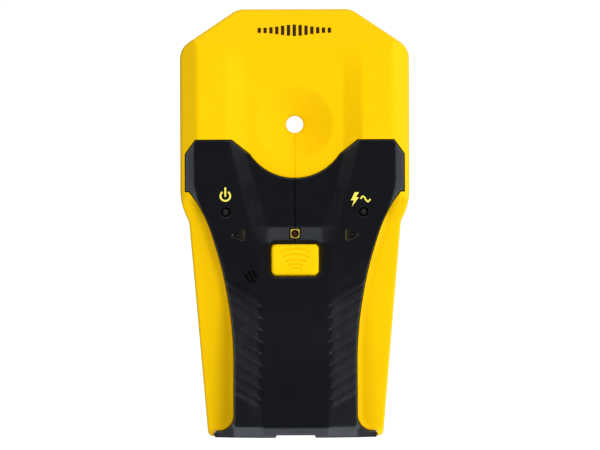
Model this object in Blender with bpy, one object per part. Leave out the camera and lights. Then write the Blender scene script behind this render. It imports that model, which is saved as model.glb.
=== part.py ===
"""Stud finder: a hand-held wall scanner with a marking hole, a power button and a 9 V battery.

Every solid is drawn in the tool's plan frame: X to the right, Y up along the tool and Z the height
above the flat sensing face, all in millimetres. One empty, tool_frame, stands this frame upright,
so that in the world the tool stands on its foot, +Z is up and its front looks along -Y.
"""
import math

import bmesh
import bpy
from mathutils import Vector
from mathutils.geometry import delaunay_2d_cdt

MM = 0.001
GAP = 0.3                       # clearance between neighbouring solids
WALL = 2.0                      # moulded wall thickness
ARC_STEP = math.radians(15)     # largest turn between two points of an arc

# Overall size
LENGTH = 154.1
HALF_WIDTH = 41.2

# Plan outline of the yellow case, right half
SHOULDER_X, SHOULDER_Y = 20.4, 140.0
STEP_TOP_Y, STEP_LOW_X, STEP_LOW_Y = 84.0, 38.1, 77.7
LEG_END_X, LEG_END_Y = 31.5, 0.4

# Marking hole and the dish around it
HOLE_Y, HOLE_R, DISH_R, DISH_SLOPE = 112.7, 3.1, 13.8, 0.45

# Heights above the sensing face
RIDGE_H = 24.0                  # shoulders of the head
VALLEY_H = 19.4                 # floor of the valley between the shoulders, at the collar
VALLEY_END_H = 22.2             # and where it starts to climb to the top band
RAMP_FOOT_H = 20.0              # the cover's valley climbs to this at the foot of the ramp
DECK_H = 25.2                   # deck around the button
CROWN_H = 31.2                  # thickest part of the grip, and so the tool's depth
LEG_H = 11.0                    # legs beside the grip
HEAD_SIDE_H = 19.0              # outer edge of the head
PARTING_H = 7.0                 # joint between the two yellow shells
LEG_Y0, LEG_Y1 = 40.0, 88.0     # the legs rise to the head between these
SHELF_Y, SHELF_SLOPE = 84.0, 0.8

# Facets of the head
BAND_Y, BAND_SLOPE = 140.8, 0.49
OUTER_X, OUTER_SLOPE = 35.0, 0.80
RIDGE_X, VALLEY_X, VALLEY_END_Y = 24.4, 17.5, 131.7

# Plan outline of the black cover, right half
HORN_TOP_Y, HORN_OUT_X, HORN_SIDE_X = 106.9, 35.7, 39.3
HORN_CUT_Y, HORN_LOW_Y = 101.9, 88.6
COLLAR_R = 19.6                 # the cover's upper edge, concentric with the hole
WAIST = [(38.0, 88.6), (34.7, 84.0), (31.1, 76.8), (28.2, 68.1), (25.9, 59.5),
         (24.2, 50.8), (22.8, 41.0), (22.1, 30.0), (22.1, 18.0), (22.1, 8.0)]
FOOT_X, FOOT_T = 29.2, 2.2
NOTCH_X, NOTCH_D = 6.8, 0.9

# Facets of the black cover
CREST_LOW_X, CREST_Y, CREST_RISE = 11.6, 55.4, 0.243
FLOOR_LOW_X, FLOOR_Y, FLOOR_RISE = 9.6, 76.0, 0.29
RAMP_TOP_Y, RAMP_LOW_Y = 75.5, 69.8
GRIP_SLOPE = 0.62
GRIP_Y0, GRIP_Y1 = 45.0, 80.0   # the sides of the grip flatten out between these
CROWN_Y0, CROWN_Y1 = 56.0, 18.0
DECK_Y0, DECK_Y1 = 70.0, 88.0   # the deck sinks to the shoulders between these
HORN_EDGE_Y, HORN_LEAN = 92.0, 0.19
WING_H, WING_SLOPE = 24.7, 1.3

# Button and its switch
BUTTON_X, BUTTON_Y0, BUTTON_Y1, BUTTON_R = 8.5, 58.4, 69.5, 1.8
BUTTON_TOP_H = 26.1
BUTTON_GAP = 0.4
BUTTON_TRAVEL = 0.8
SWITCH_Y = 64.0
STEM_R, STEM_H = 1.8, 11.4

# Circuit board
PCB_H, PCB_T = 4.2, 1.6
PCB_TOP = PCB_H + PCB_T + GAP

# Battery bay, door and its hinge axis
DOOR_X, DOOR_Y0, DOOR_Y1, DOOR_T = 16.0, 4.8, 58.0, 1.8
BATTERY_X, BATTERY_Y0, BATTERY_Y1 = 13.2, 5.2, 51.6
BATTERY_H0, BATTERY_H1 = 3.2, 20.6
TERMINAL_X = 6.35

# Screws: plan position and the depth of material left above each blind hole
SCREW_POINTS = [(-31.0, 137.0), (31.0, 137.0), (-31.6, 66.0), (31.6, 66.0)]
SCREW_SKIN = 3.0
BOSS_TOP_H = 3.6

# Indicators: plan position, LED radius
LEDS = {
    "power": (-24.9, 81.1, 1.45),
    "ac": (24.7, 81.1, 1.45),
    "left": (-20.9, 72.9, 1.45),
    "centre": (0.0, 73.3, 1.0),
    "right": (20.9, 72.9, 1.45),
}
LED_HOLE_R = 1.8
WINDOW_BASE_X, WINDOW_APEX_X, WINDOW_HALF = 18.2, 23.8, 2.1
BEZEL_HALF = 1.7
BEZEL_SIDE = (17.0, 25.2, 3.4)  # light frame behind each side window: inner x, outer x, half height


# ---------------------------------------------------------------- plan curves

def clamp(value):
    return min(1.0, max(0.0, value))


def smooth(value):
    t = clamp(value)
    return t * t * (3.0 - 2.0 * t)


def arc(cx, cy, radius, start, end, steps=None):
    """Points on an arc, both ends included; angles in degrees."""
    a0, a1 = math.radians(start), math.radians(end)
    count = steps or max(2, math.ceil(abs(a1 - a0) / ARC_STEP))
    turns = [a0 + (a1 - a0) * i / count for i in range(count + 1)]
    return [(cx + radius * math.cos(t), cy + radius * math.sin(t)) for t in turns]


def circle(cx, cy, radius, steps=24):
    return arc(cx, cy, radius, 0, 360, steps)[:-1]


def rounded(corners):
    """Closed outline from (x, y, radius) corners, each rounded by its radius."""
    points = []
    for i, (x, y, radius) in enumerate(corners):
        here = Vector((x, y))
        back = (Vector(corners[i - 1][:2]) - here).normalized()
        ahead = (Vector(corners[(i + 1) % len(corners)][:2]) - here).normalized()
        if radius <= 0.0:
            points.append((x, y))
            continue
        half = back.angle(ahead) / 2.0
        centre = here + (back + ahead).normalized() * (radius / math.sin(half))
        first = here + back * (radius / math.tan(half)) - centre
        last = here + ahead * (radius / math.tan(half)) - centre
        sweep = first.angle_signed(last)
        count = max(2, math.ceil(abs(sweep) / ARC_STEP))
        for k in range(count + 1):
            t = -sweep * k / count
            turned_x = first.x * math.cos(t) - first.y * math.sin(t)
            turned_y = first.x * math.sin(t) + first.y * math.cos(t)
            points.append((centre.x + turned_x, centre.y + turned_y))
    return points


def spline(knots, per_span=4):
    """Catmull-Rom curve through the knots (tuples of any length)."""
    ends = [knots[0], *knots, knots[-1]]
    points = []
    for a, b, c, d in zip(ends, ends[1:], ends[2:], ends[3:]):
        for k in range(per_span):
            t = k / per_span
            points.append(tuple(
                0.5 * (2 * q + (r - p) * t + (2 * p - 5 * q + 4 * r - s) * t * t
                       + (3 * q - p - 3 * r + s) * t ** 3)
                for p, q, r, s in zip(a, b, c, d)))
    return points + [tuple(knots[-1])]


def mirrored(right_half):
    """Closed outline from its right half, which runs from the top to the bottom."""
    left = [(-x, y) for x, y in reversed(right_half) if x > 1e-6]
    return right_half + left


def grown(points, distance):
    """The outline moved outwards by a distance (inwards if negative)."""
    area = sum(a[0] * b[1] - b[0] * a[1] for a, b in zip(points, points[1:] + points[:1]))
    side = distance if area > 0 else -distance
    result = []
    for i, point in enumerate(points):
        before = (Vector(point) - Vector(points[i - 1])).normalized()
        after = (Vector(points[(i + 1) % len(points)]) - Vector(point)).normalized()
        normal = Vector((before.y + after.y, -before.x - after.x)).normalized()
        stretch = max(0.4, normal.dot(Vector((before.y, -before.x))))
        moved = Vector(point) + normal * (side / stretch)
        result.append((moved.x, moved.y))
    return result


def inside(points, x, y):
    """True where the point lies inside the closed outline."""
    found = False
    for (ax, ay), (bx, by) in zip(points, points[1:] + points[:1]):
        if (ay > y) != (by > y) and x < ax + (y - ay) * (bx - ax) / (by - ay):
            found = not found
    return found


def box_plan(x0, x1, y0, y1, radius=0.0):
    return rounded([(x0, y0, radius), (x1, y0, radius), (x1, y1, radius), (x0, y1, radius)])


# ---------------------------------------------------------------- outlines of the casing

def case_outline():
    corner = 7.0
    ring = rounded([(SHOULDER_X, LENGTH, corner), (HALF_WIDTH, SHOULDER_Y, corner),
                    (HALF_WIDTH, STEP_TOP_Y, 20.0), (STEP_LOW_X, STEP_LOW_Y, 5.0),
                    (LEG_END_X, LEG_END_Y, 2.0), (0.0, LEG_END_Y, 0.0), (0.0, LENGTH, 0.0)])
    return mirrored([(0.0, LENGTH)] + ring[:-2] + [(0.0, LEG_END_Y)])


def cover_outline():
    start = math.degrees(math.asin((HOLE_Y - HORN_CUT_Y) / COLLAR_R))
    collar = arc(0.0, HOLE_Y, COLLAR_R, -90.0, -start, 8)
    horn = [(22.7, HORN_TOP_Y), (HORN_OUT_X, HORN_TOP_Y), (HORN_SIDE_X, HORN_CUT_Y),
            (HORN_SIDE_X, HORN_LOW_Y)]
    flare = arc(WAIST[-1][0] + 5.8, 8.0, 5.8, 180.0, 270.0)
    tip = 0.7
    foot = [(FOOT_X - tip, FOOT_T), (FOOT_X, FOOT_T - tip), (FOOT_X, 0.0),
            (NOTCH_X + NOTCH_D / 2, 0.0), (NOTCH_X, NOTCH_D), (0.0, NOTCH_D)]
    return mirrored(collar + horn + spline(WAIST) + flare[1:] + foot)


CASE = case_outline()
CASE_INNER = grown(CASE, -WALL)
COVER = cover_outline()
COVER_CUT = grown(COVER, GAP)
COVER_KEEP = grown(COVER, GAP + WALL)
COVER_INNER = [p for p in grown(COVER, -WALL) if p[1] > FOOT_T + 0.2]
FOOT_CUT = box_plan(-FOOT_X - GAP, FOOT_X + GAP, -1.0, FOOT_T + GAP)
FOOT_KEEP = box_plan(-FOOT_X - GAP - WALL, FOOT_X + GAP + WALL, -1.0, FOOT_T + GAP + WALL)


# ---------------------------------------------------------------- relief of the front

def head_height(x, y):
    """Front surface of the yellow head and legs."""
    side = abs(x)
    floor = head_floor(y)
    wall = floor + (RIDGE_H - floor) * clamp((side - VALLEY_X) / (RIDGE_X - VALLEY_X))
    band = RIDGE_H - BAND_SLOPE * (y - BAND_Y)
    height = min(wall, band, RIDGE_H - OUTER_SLOPE * (side - OUTER_X))
    height -= DISH_SLOPE * max(0.0, DISH_R - math.hypot(x, y - HOLE_Y))
    return min(height, leg_height(y))


def head_floor(y):
    """The head's valley drops from the top band, then deepens slowly towards the collar."""
    end = RIDGE_H - (RIDGE_H - VALLEY_END_H) * (BAND_Y - y) / (BAND_Y - VALLEY_END_Y)
    collar_y = HOLE_Y - COLLAR_R
    rise = (VALLEY_END_H - VALLEY_H) * (y - collar_y) / (VALLEY_END_Y - collar_y)
    return min(RIDGE_H, max(end, VALLEY_H + max(0.0, rise)))


def leg_height(y):
    """The legs beside the grip rise to meet the head."""
    rise = smooth((y - LEG_Y0) / (LEG_Y1 - LEG_Y0))
    return LEG_H + (HEAD_SIDE_H - LEG_H) * rise + SHELF_SLOPE * max(0.0, y - SHELF_Y)


def crest_x(y):
    return CREST_LOW_X + CREST_RISE * max(0.0, y - CREST_Y)


def floor_x(y):
    return FLOOR_LOW_X + FLOOR_RISE * (y - FLOOR_Y)


def valley_floor(y):
    """The cover's valley climbs from the collar to the foot of the ramp."""
    collar_y = HOLE_Y - COLLAR_R
    climb = clamp((collar_y - y) / (collar_y - RAMP_TOP_Y))
    return VALLEY_H + (RAMP_FOOT_H - VALLEY_H) * climb


def crown_height(y):
    """Height of the cover along its middle, deck and shoulders."""
    if y > CROWN_Y0:
        return RIDGE_H + (DECK_H - RIDGE_H) * clamp((DECK_Y1 - y) / (DECK_Y1 - DECK_Y0))
    return DECK_H + (CROWN_H - DECK_H) * smooth((CROWN_Y0 - y) / (CROWN_Y0 - CROWN_Y1))


def cover_height(x, y):
    """Front surface of the black cover."""
    side = abs(x)
    crown = crown_height(y)
    slope = GRIP_SLOPE * smooth((GRIP_Y1 - y) / (GRIP_Y1 - GRIP_Y0))
    horn_x = HORN_OUT_X - HORN_LEAN * max(0.0, HORN_EDGE_Y - y)
    height = crown - slope * max(0.0, side - crest_x(y))
    if y > GRIP_Y1:
        height = min(height, RIDGE_H - OUTER_SLOPE * (side - horn_x))
    if y > RAMP_LOW_Y:
        ramp = DECK_H - (DECK_H - RAMP_FOOT_H) * (y - RAMP_LOW_Y) / (RAMP_TOP_Y - RAMP_LOW_Y)
        floor = max(valley_floor(y), ramp)
        across = clamp((side - floor_x(y)) / (crest_x(y) - floor_x(y)))
        height = min(height, floor + (crown - floor) * across)
    if y < WAIST[-1][1]:
        height = min(height, WING_H - WING_SLOPE * (side - WAIST[-1][0]))
    return height


# ---------------------------------------------------------------- building solids

def material(name, colour, roughness, metallic=0.0):
    made = bpy.data.materials.get(name) or bpy.data.materials.new(name)
    made.use_nodes = True
    shader = made.node_tree.nodes["Principled BSDF"]
    shader.inputs["Base Color"].default_value = (*colour, 1.0)
    shader.inputs["Roughness"].default_value = roughness
    shader.inputs["Metallic"].default_value = metallic
    return made


YELLOW = ("yellow_plastic", (0.92, 0.62, 0.01), 0.42)
BLACK = ("black_plastic", (0.012, 0.012, 0.014), 0.5)
BOARD = ("circuit_board", (0.02, 0.16, 0.06), 0.45)
COPPER = ("copper_plate", (0.72, 0.38, 0.22), 0.35, 1.0)
CHIP = ("chip_body", (0.015, 0.015, 0.017), 0.4)
STEEL = ("plated_steel", (0.62, 0.62, 0.62), 0.3, 1.0)
LENS = ("led_lens", (0.16, 0.02, 0.015), 0.12)
WHITE = ("spacer_plastic", (0.75, 0.75, 0.72), 0.5)
CELL = ("battery_wrap", (0.09, 0.09, 0.1), 0.35)
RED = ("red_insulation", (0.5, 0.02, 0.02), 0.5)


def add_object(name, data, finish, parent, place=(0.0, 0.0, 0.0), turn=(0.0, 0.0, 0.0)):
    made = bpy.data.objects.new(name, data)
    data.materials.append(material(*finish))
    made.parent = parent
    made.location = [c * MM for c in place]
    made.rotation_euler = turn
    bpy.context.scene.collection.objects.link(made)
    return made


def solid(name, corners, faces, finish, parent, place=(0.0, 0.0, 0.0), turn=(0.0, 0.0, 0.0)):
    """Object from corners in millimetres, relative to its place, with its faces turned outwards."""
    mesh = bpy.data.meshes.new(name)
    mesh.from_pydata([[c * MM for c in corner] for corner in corners], [], faces)
    work = bmesh.new()
    work.from_mesh(mesh)
    bmesh.ops.triangulate(work, faces=work.faces)
    bmesh.ops.recalc_face_normals(work, faces=work.faces)
    work.to_mesh(mesh)
    work.free()
    mesh.shade_smooth()
    mesh.set_sharp_from_angle(angle=math.radians(30))
    return add_object(name, mesh, finish, parent, place, turn)


def layered(name, curves, layer_at, finish, parent, place=(0.0, 0.0, 0.0)):
    """Closed solid over the plan.

    curves are plan outlines and crease lines, as (points, closed). layer_at(x, y) names the low and
    high surface of the material there, each a height or a function of x and y, or gives None where
    there is no material. Steps between neighbouring layers become upright walls.
    """
    corners, edges = [], []
    for points, closed in curves:
        first = len(corners)
        corners += [Vector(p) for p in points]
        edges += [(first + i, first + i + 1) for i in range(len(points) - 1)]
        if closed:
            edges.append((first + len(points) - 1, first))
    plan, _, triangles, *_ = delaunay_2d_cdt(corners, edges, [], 0, 1e-4)

    def height(surface, corner):
        value = surface(*plan[corner]) if callable(surface) else surface
        return round(value, 3)

    spans, levels, borders = [], {}, {}
    for triangle in triangles:
        layer = layer_at(*(sum((plan[i] for i in triangle), Vector((0, 0))) / 3.0))
        if layer is None:
            continue
        span = {i: (height(layer[0], i), height(layer[1], i)) for i in triangle}
        for i in triangle:
            levels.setdefault(i, set()).update(span[i])
        for k in range(3):
            border = frozenset((triangle[k], triangle[(k + 1) % 3]))
            borders.setdefault(border, []).append(len(spans))
        spans.append(span)

    vertices, numbers, faces = [], {}, []

    def corner_number(i, h):
        key = (i, h)
        if key not in numbers:
            numbers[key] = len(vertices)
            vertices.append((plan[i].x - place[0], plan[i].y - place[1], h - place[2]))
        return numbers[key]

    def upright(i, j, one, other):
        """Wall over the plan edge i-j between two heights at each end."""
        loop = []
        for end, reverse in ((i, False), (j, True)):
            low, high = sorted((one[end], other[end]))
            stack = sorted((h for h in levels[end] if low <= h <= high), reverse=reverse)
            loop += [corner_number(end, h) for h in stack]
        if len(loop) > 2:
            faces.append(loop)

    for span in spans:
        for side in (0, 1):
            faces.append([corner_number(i, heights[side]) for i, heights in span.items()])
    for border, owners in borders.items():
        i, j = border
        first = spans[owners[0]]
        if len(owners) == 1:
            upright(i, j, {e: first[e][0] for e in border}, {e: first[e][1] for e in border})
            continue
        second = spans[owners[1]]
        for side in (0, 1):
            one = {e: first[e][side] for e in border}
            other = {e: second[e][side] for e in border}
            if one != other:
                upright(i, j, one, other)
    return solid(name, vertices, faces, finish, parent, place)


def plate(name, outline, low, high, finish, parent, holes=()):
    """Flat plate between two heights, with through holes."""
    def layer(x, y):
        if not inside(outline, x, y) or any(inside(hole, x, y) for hole in holes):
            return None
        return low, high
    return layered(name, [(outline, True), *((hole, True) for hole in holes)], layer, finish, parent)


def turned(name, profile, place, finish, parent, upright=False, steps=20):
    """Turned piece: profile of (radius, distance) points about an axis.

    The axis points to the front, or up along the tool if upright is set. A profile that starts and
    ends on the axis gives a solid, any other profile is closed into a ring.
    """
    on_axis = profile[0][0] == 0.0
    rings = profile[1:-1] if on_axis else profile
    corners, faces = [], []
    for radius, along in rings:
        corners += [(x, y, along) for x, y in circle(0.0, 0.0, radius, steps)]
    pairs = list(range(len(rings) - 1)) if on_axis else list(range(len(rings)))
    for ring in pairs:
        a, b = ring * steps, (ring + 1) % len(rings) * steps
        for k in range(steps):
            after = (k + 1) % steps
            faces.append((a + k, a + after, b + after, b + k))
    if on_axis:
        faces.append(tuple(range(steps)))
        last = (len(rings) - 1) * steps
        faces.append(tuple(range(last, last + steps)))
    turn = (-math.pi / 2, 0.0, 0.0) if upright else (0.0, 0.0, 0.0)
    return solid(name, corners, faces, finish, parent, place, turn)


def rod(radius, low, high, edge=0.0):
    """Profile of a plain rod, its far edge broken by edge."""
    if edge:
        return [(0, low), (radius, low), (radius, high - edge), (radius - edge, high), (0, high)]
    return [(0, low), (radius, low), (radius, high), (0, high)]


# ---------------------------------------------------------------- casing

def near(points, x, y, radius):
    return any(math.hypot(x - px, y - py) < radius for px, py in points)


def front_shell(parent):
    """Yellow front casing, hollow from behind, with screw bosses and the marking hole's tube."""
    tube_r, boss_r, pilot_r = HOLE_R + 1.9, 3.0, 1.4
    curves = [(CASE, True), (CASE_INNER, True), (COVER_CUT, True), (COVER_KEEP, True)]
    curves.append((FOOT_CUT, True))
    curves += [(circle(0, HOLE_Y, r, 32), True) for r in (HOLE_R, tube_r)]
    curves += [(circle(0, HOLE_Y, DISH_R, 48), True)]
    curves += [(circle(x, y, r, 16), True) for x, y in SCREW_POINTS for r in (pilot_r, boss_r)]
    for s in (-1, 1):
        curves += [([(s * x, SHELF_Y), (s * x, BAND_Y)], False) for x in (VALLEY_X, RIDGE_X, OUTER_X)]
    curves.append(([(-RIDGE_X, VALLEY_END_Y), (RIDGE_X, VALLEY_END_Y)], False))
    corner = (OUTER_X + 4.0, BAND_Y + 4.0 * OUTER_SLOPE / BAND_SLOPE)
    curves += [([(s * OUTER_X, BAND_Y), (s * corner[0], corner[1])], False) for s in (-1, 1)]
    curves.append(([(-HALF_WIDTH, BAND_Y), (HALF_WIDTH, BAND_Y)], False))
    for y in (LEG_Y1, 86.0, SHELF_Y, 78.0, 72.0, 64.0, 56.0, 48.0, LEG_Y0):
        curves += [([(s * 20.0, y), (s * HALF_WIDTH, y)], False) for s in (-1, 1)]

    def layer(x, y):
        radius = math.hypot(x, y - HOLE_Y)
        if not inside(CASE, x, y) or inside(COVER_CUT, x, y) or inside(FOOT_CUT, x, y):
            return None
        if radius < HOLE_R:
            return None
        if radius < tube_r:
            return WALL + GAP, head_height
        if near(SCREW_POINTS, x, y, pilot_r):
            return (lambda px, py: head_height(px, py) - SCREW_SKIN), head_height
        if near(SCREW_POINTS, x, y, boss_r):
            return BOSS_TOP_H + GAP, head_height
        if inside(CASE_INNER, x, y) and not inside(COVER_KEEP, x, y):
            return (lambda px, py: head_height(px, py) - WALL), head_height
        return PARTING_H + GAP, head_height

    return layered("front_shell", curves, layer, YELLOW, parent)


def rear_shell(parent):
    """Yellow rear casing: sensing face, rim, battery bay rails, screw bosses and board posts."""
    bay = box_plan(-DOOR_X - GAP, DOOR_X + GAP, DOOR_Y0 - GAP, DOOR_Y1 + GAP, 1.2)
    rail_x, rail_half, rail_y0, rail_y1 = DOOR_X + 1.05, 0.75, 6.2, 56.6
    rails = [box_plan(s * rail_x - rail_half, s * rail_x + rail_half, rail_y0, rail_y1) for s in (-1, 1)]
    post_x, post_ys = 29.5, (80.0, 128.0)
    posts = [(s * post_x, y) for s in (-1, 1) for y in post_ys]
    hole_r, sink_r, sink_h, boss_r, post_r = 1.5, 2.8, 1.5, 4.2, 1.6
    curves = [(CASE, True), (CASE_INNER, True), (bay, True), (FOOT_CUT, True), (FOOT_KEEP, True)]
    curves += [(rail, True) for rail in rails]
    curves += [(circle(0, HOLE_Y, HOLE_R, 32), True)]
    curves += [(circle(x, y, r, 16), True) for x, y in SCREW_POINTS for r in (hole_r, sink_r, boss_r)]
    curves += [(circle(x, y, post_r, 12), True) for x, y in posts]

    def layer(x, y):
        if not inside(CASE, x, y) or inside(bay, x, y) or inside(FOOT_CUT, x, y):
            return None
        if math.hypot(x, y - HOLE_Y) < HOLE_R or near(SCREW_POINTS, x, y, hole_r):
            return None
        if near(SCREW_POINTS, x, y, sink_r):
            return sink_h, BOSS_TOP_H
        if near(SCREW_POINTS, x, y, boss_r) and inside(CASE_INNER, x, y):
            return 0.0, BOSS_TOP_H
        if not inside(CASE_INNER, x, y) or inside(FOOT_KEEP, x, y):
            return 0.0, PARTING_H
        if any(inside(rail, x, y) for rail in rails):
            return 0.0, PARTING_H
        if near(posts, x, y, post_r):
            return 0.0, PCB_H - GAP
        return 0.0, WALL

    return layered("rear_shell", curves, layer, YELLOW, parent)


def window_plan(side):
    """Triangular window that points outwards."""
    y = LEDS["left"][1]
    return [(side * WINDOW_BASE_X, y - WINDOW_HALF), (side * WINDOW_BASE_X, y + WINDOW_HALF),
            (side * WINDOW_APEX_X, y)]


def grille_plans():
    """Three slanted sound slots, the middle one longest."""
    slots = []
    lean = Vector((0.53, -0.85))
    across = Vector((lean.y, -lean.x))
    centre, half_width = Vector((-15.9, 57.9)), 0.36
    for offset, half in ((-1.25, 1.3), (0.0, 1.9), (1.25, 1.3)):
        middle = centre + across * offset
        ends = [middle + lean * half, middle - lean * half]
        width = across * half_width
        slots.append([tuple(ends[0] - width), tuple(ends[0] + width),
                      tuple(ends[1] + width), tuple(ends[1] - width)])
    return slots


def grip_cover(parent):
    """Black cover: horns, valley, ramp, deck, grip and foot, hollow from behind."""
    opening = box_plan(-BUTTON_X - BUTTON_GAP, BUTTON_X + BUTTON_GAP,
                       BUTTON_Y0 - BUTTON_GAP, BUTTON_Y1 + BUTTON_GAP, BUTTON_R)
    square = BEZEL_HALF + GAP
    cy = LEDS["centre"][1]
    holes = [opening, box_plan(-square, square, cy - square, cy + square),
             window_plan(-1), window_plan(1), *grille_plans()]
    holes += [circle(*LEDS[key][:2], LED_HOLE_R, 20) for key in ("power", "ac")]
    rib_x, rib_half, rib_y0, rib_y1 = 8.7, 0.7, 8.0, 48.0
    ribs = [box_plan(s * rib_x - rib_half, s * rib_x + rib_half, rib_y0, rib_y1) for s in (-1, 1)]
    curves = [(COVER, True), (COVER_INNER, True)]
    curves += [(hole, True) for hole in holes + ribs]
    curves.append(([(-FOOT_X, FOOT_T), (FOOT_X, FOOT_T)], False))
    for s in (-1, 1):
        crest = [(s * crest_x(y), y) for y in (0.0, CREST_Y, HORN_TOP_Y)]
        floor = [(s * floor_x(y), y) for y in (RAMP_LOW_Y, RAMP_TOP_Y, 101.5)]
        ridge = [(s * HORN_OUT_X, HORN_TOP_Y), (s * HORN_OUT_X, HORN_EDGE_Y), (s * 33.6, 81.0)]
        curves += [(crest, False), (floor, False), (ridge, False)]
    rows = (DECK_Y1, GRIP_Y1, RAMP_TOP_Y, RAMP_LOW_Y, 64.0, CROWN_Y0, 50.0, 44.0, 37.0, 30.0, 24.0,
            CROWN_Y1, WAIST[-1][1])
    for y in rows:
        curves.append(([(-HALF_WIDTH, y), (HALF_WIDTH, y)], False))

    def layer(x, y):
        if not inside(COVER, x, y) or any(inside(hole, x, y) for hole in holes):
            return None
        if y < FOOT_T:
            return 0.0, cover_height
        if inside(COVER_INNER, x, y):
            if any(inside(rib, x, y) for rib in ribs):
                return BATTERY_H1 + GAP, cover_height
            return (lambda px, py: cover_height(px, py) - WALL), cover_height
        return PARTING_H + GAP, cover_height

    return layered("grip_cover", curves, layer, BLACK, parent)


# ---------------------------------------------------------------- button and switch

def button(parent):
    """Power button: cap, retaining flange under the deck, and a stem down to the switch."""
    cap = box_plan(-BUTTON_X, BUTTON_X, BUTTON_Y0, BUTTON_Y1, BUTTON_R)
    hollow = box_plan(-BUTTON_X + 1.3, BUTTON_X - 1.3, BUTTON_Y0 + 1.3, BUTTON_Y1 - 1.3, 0.8)
    flange = box_plan(-BUTTON_X - 1.2, BUTTON_X + 1.2, BUTTON_Y0 - 1.2, BUTTON_Y1, 0.8)
    stem = circle(0, SWITCH_Y, STEM_R, 20)
    flange_top = DECK_H - WALL - GAP
    flange_low = flange_top - 1.2

    def layer(x, y):
        if inside(stem, x, y):
            return STEM_H, BUTTON_TOP_H
        if inside(hollow, x, y):
            return BUTTON_TOP_H - 1.6, BUTTON_TOP_H
        if inside(cap, x, y):
            return flange_low, BUTTON_TOP_H
        return (flange_low, flange_top) if inside(flange, x, y) else None

    curves = [(points, True) for points in (cap, hollow, flange, stem)]
    middle = (0.0, (BUTTON_Y0 + BUTTON_Y1) / 2, flange_low)
    return layered("button", curves, layer, YELLOW, parent, middle)


def switch(parent):
    """Tactile switch: square body with a well, and the plunger that the button's stem presses."""
    half, top, well_r, well_h = 3.0, PCB_TOP + 3.5, 2.1, PCB_TOP + 1.5
    body = box_plan(-half, half, SWITCH_Y - half, SWITCH_Y + half)
    well = circle(0, SWITCH_Y, well_r, 20)

    def layer(x, y):
        if inside(well, x, y):
            return PCB_TOP, well_h
        return (PCB_TOP, top) if inside(body, x, y) else None

    layered("switch_body", [(body, True), (well, True)], layer, CHIP, parent)
    plunger = rod(well_r - GAP, well_h + BUTTON_TRAVEL + 0.2, STEM_H - GAP, 0.3)
    turned("switch_plunger", plunger, (0, SWITCH_Y, 0), CHIP, parent)


# ---------------------------------------------------------------- indicators

def indicators(parent):
    """LEDs on their spacers, and the yellow frames of the three sensing LEDs."""
    for key, (x, y, radius) in LEDS.items():
        sunk = 3.0 if key in ("left", "right") else 0.9
        top = cover_height(x, y) - sunk
        base = top - 4.6
        dome = [(radius * math.cos(t), top - radius + radius * math.sin(t))
                for t in (math.radians(a) for a in (0, 22, 45, 67))]
        foot = [(0, base), (radius + 0.25, base), (radius + 0.25, base + 0.7), (radius, base + 0.7)]
        turned(f"led_{key}", foot + dome + [(0, top)], (x, y, 0), LENS, parent)
        spacer = rod(radius + 0.5, PCB_TOP, base - GAP)
        turned(f"spacer_{key}", spacer, (x, y, 0), WHITE, parent, steps=16)
        if key in ("power", "ac"):
            continue
        bore = circle(x, y, radius + GAP, 20)
        if key == "centre":
            frame = box_plan(-BEZEL_HALF, BEZEL_HALF, y - BEZEL_HALF, y + BEZEL_HALF)
        else:
            near_x, far_x, half = BEZEL_SIDE
            x0, x1 = sorted((math.copysign(near_x, x), math.copysign(far_x, x)))
            frame = box_plan(x0, x1, y - half, y + half, 0.8)
        plate(f"bezel_{key}", frame, top - 1.7, top + 0.3, YELLOW, parent, [bore])


# ---------------------------------------------------------------- electronics

def electronics(parent):
    """Board with its sensing plates behind it and its components in front."""
    board = rounded([(-20.0, 60.2, 1.0), (20.0, 60.2, 1.0), (26.0, 74.0, 1.0), (33.0, 76.0, 1.0),
                     (33.0, 131.0, 1.0), (-33.0, 131.0, 1.0), (-33.0, 76.0, 1.0), (-26.0, 74.0, 1.0)])
    tube = circle(0, HOLE_Y, HOLE_R + 2.4, 32)
    plate("main_pcb", board, PCB_H, PCB_H + PCB_T, BOARD, parent, [tube])
    plates = {"left": (-26.0, -11.0, 76.0, 128.0), "centre": (-8.5, 8.5, 76.0, 104.0),
              "right": (11.0, 26.0, 76.0, 128.0)}
    for key, (x0, x1, y0, y1) in plates.items():
        top = PCB_H - GAP
        plate(f"electrode_{key}", box_plan(x0, x1, y0, y1, 1.0), top - 0.4, top, COPPER, parent)
    chips = {"microcontroller": (-14.0, -4.0, 82.0, 89.5, 2.3),
             "sense_amplifier": (5.0, 11.0, 83.0, 88.0, 1.6),
             "voltage_regulator": (8.0, 12.6, 68.0, 71.0, 1.8)}
    for key, (x0, x1, y0, y1, tall) in chips.items():
        plate(key, box_plan(x0, x1, y0, y1, 0.3), PCB_TOP, PCB_TOP + tall, CHIP, parent)
    crystal = box_plan(-20.7, -16.3, 78.4, 89.4, 2.1)
    plate("quartz_crystal", crystal, PCB_TOP, PCB_TOP + 3.4, STEEL, parent)
    turned("filter_capacitor", rod(2.5, PCB_TOP, PCB_TOP + 7.0, 0.4), (14.5, 64.2, 0), CELL, parent)
    sound = [(0, PCB_TOP), (4.4, PCB_TOP), (4.4, PCB_TOP + 6.0), (1.0, PCB_TOP + 6.0),
             (1.0, PCB_TOP + 5.0), (0, PCB_TOP + 5.0)]
    turned("buzzer", sound, (-15.6, 65.2, 0), CHIP, parent, steps=28)


# ---------------------------------------------------------------- battery, snap and leads

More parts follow.
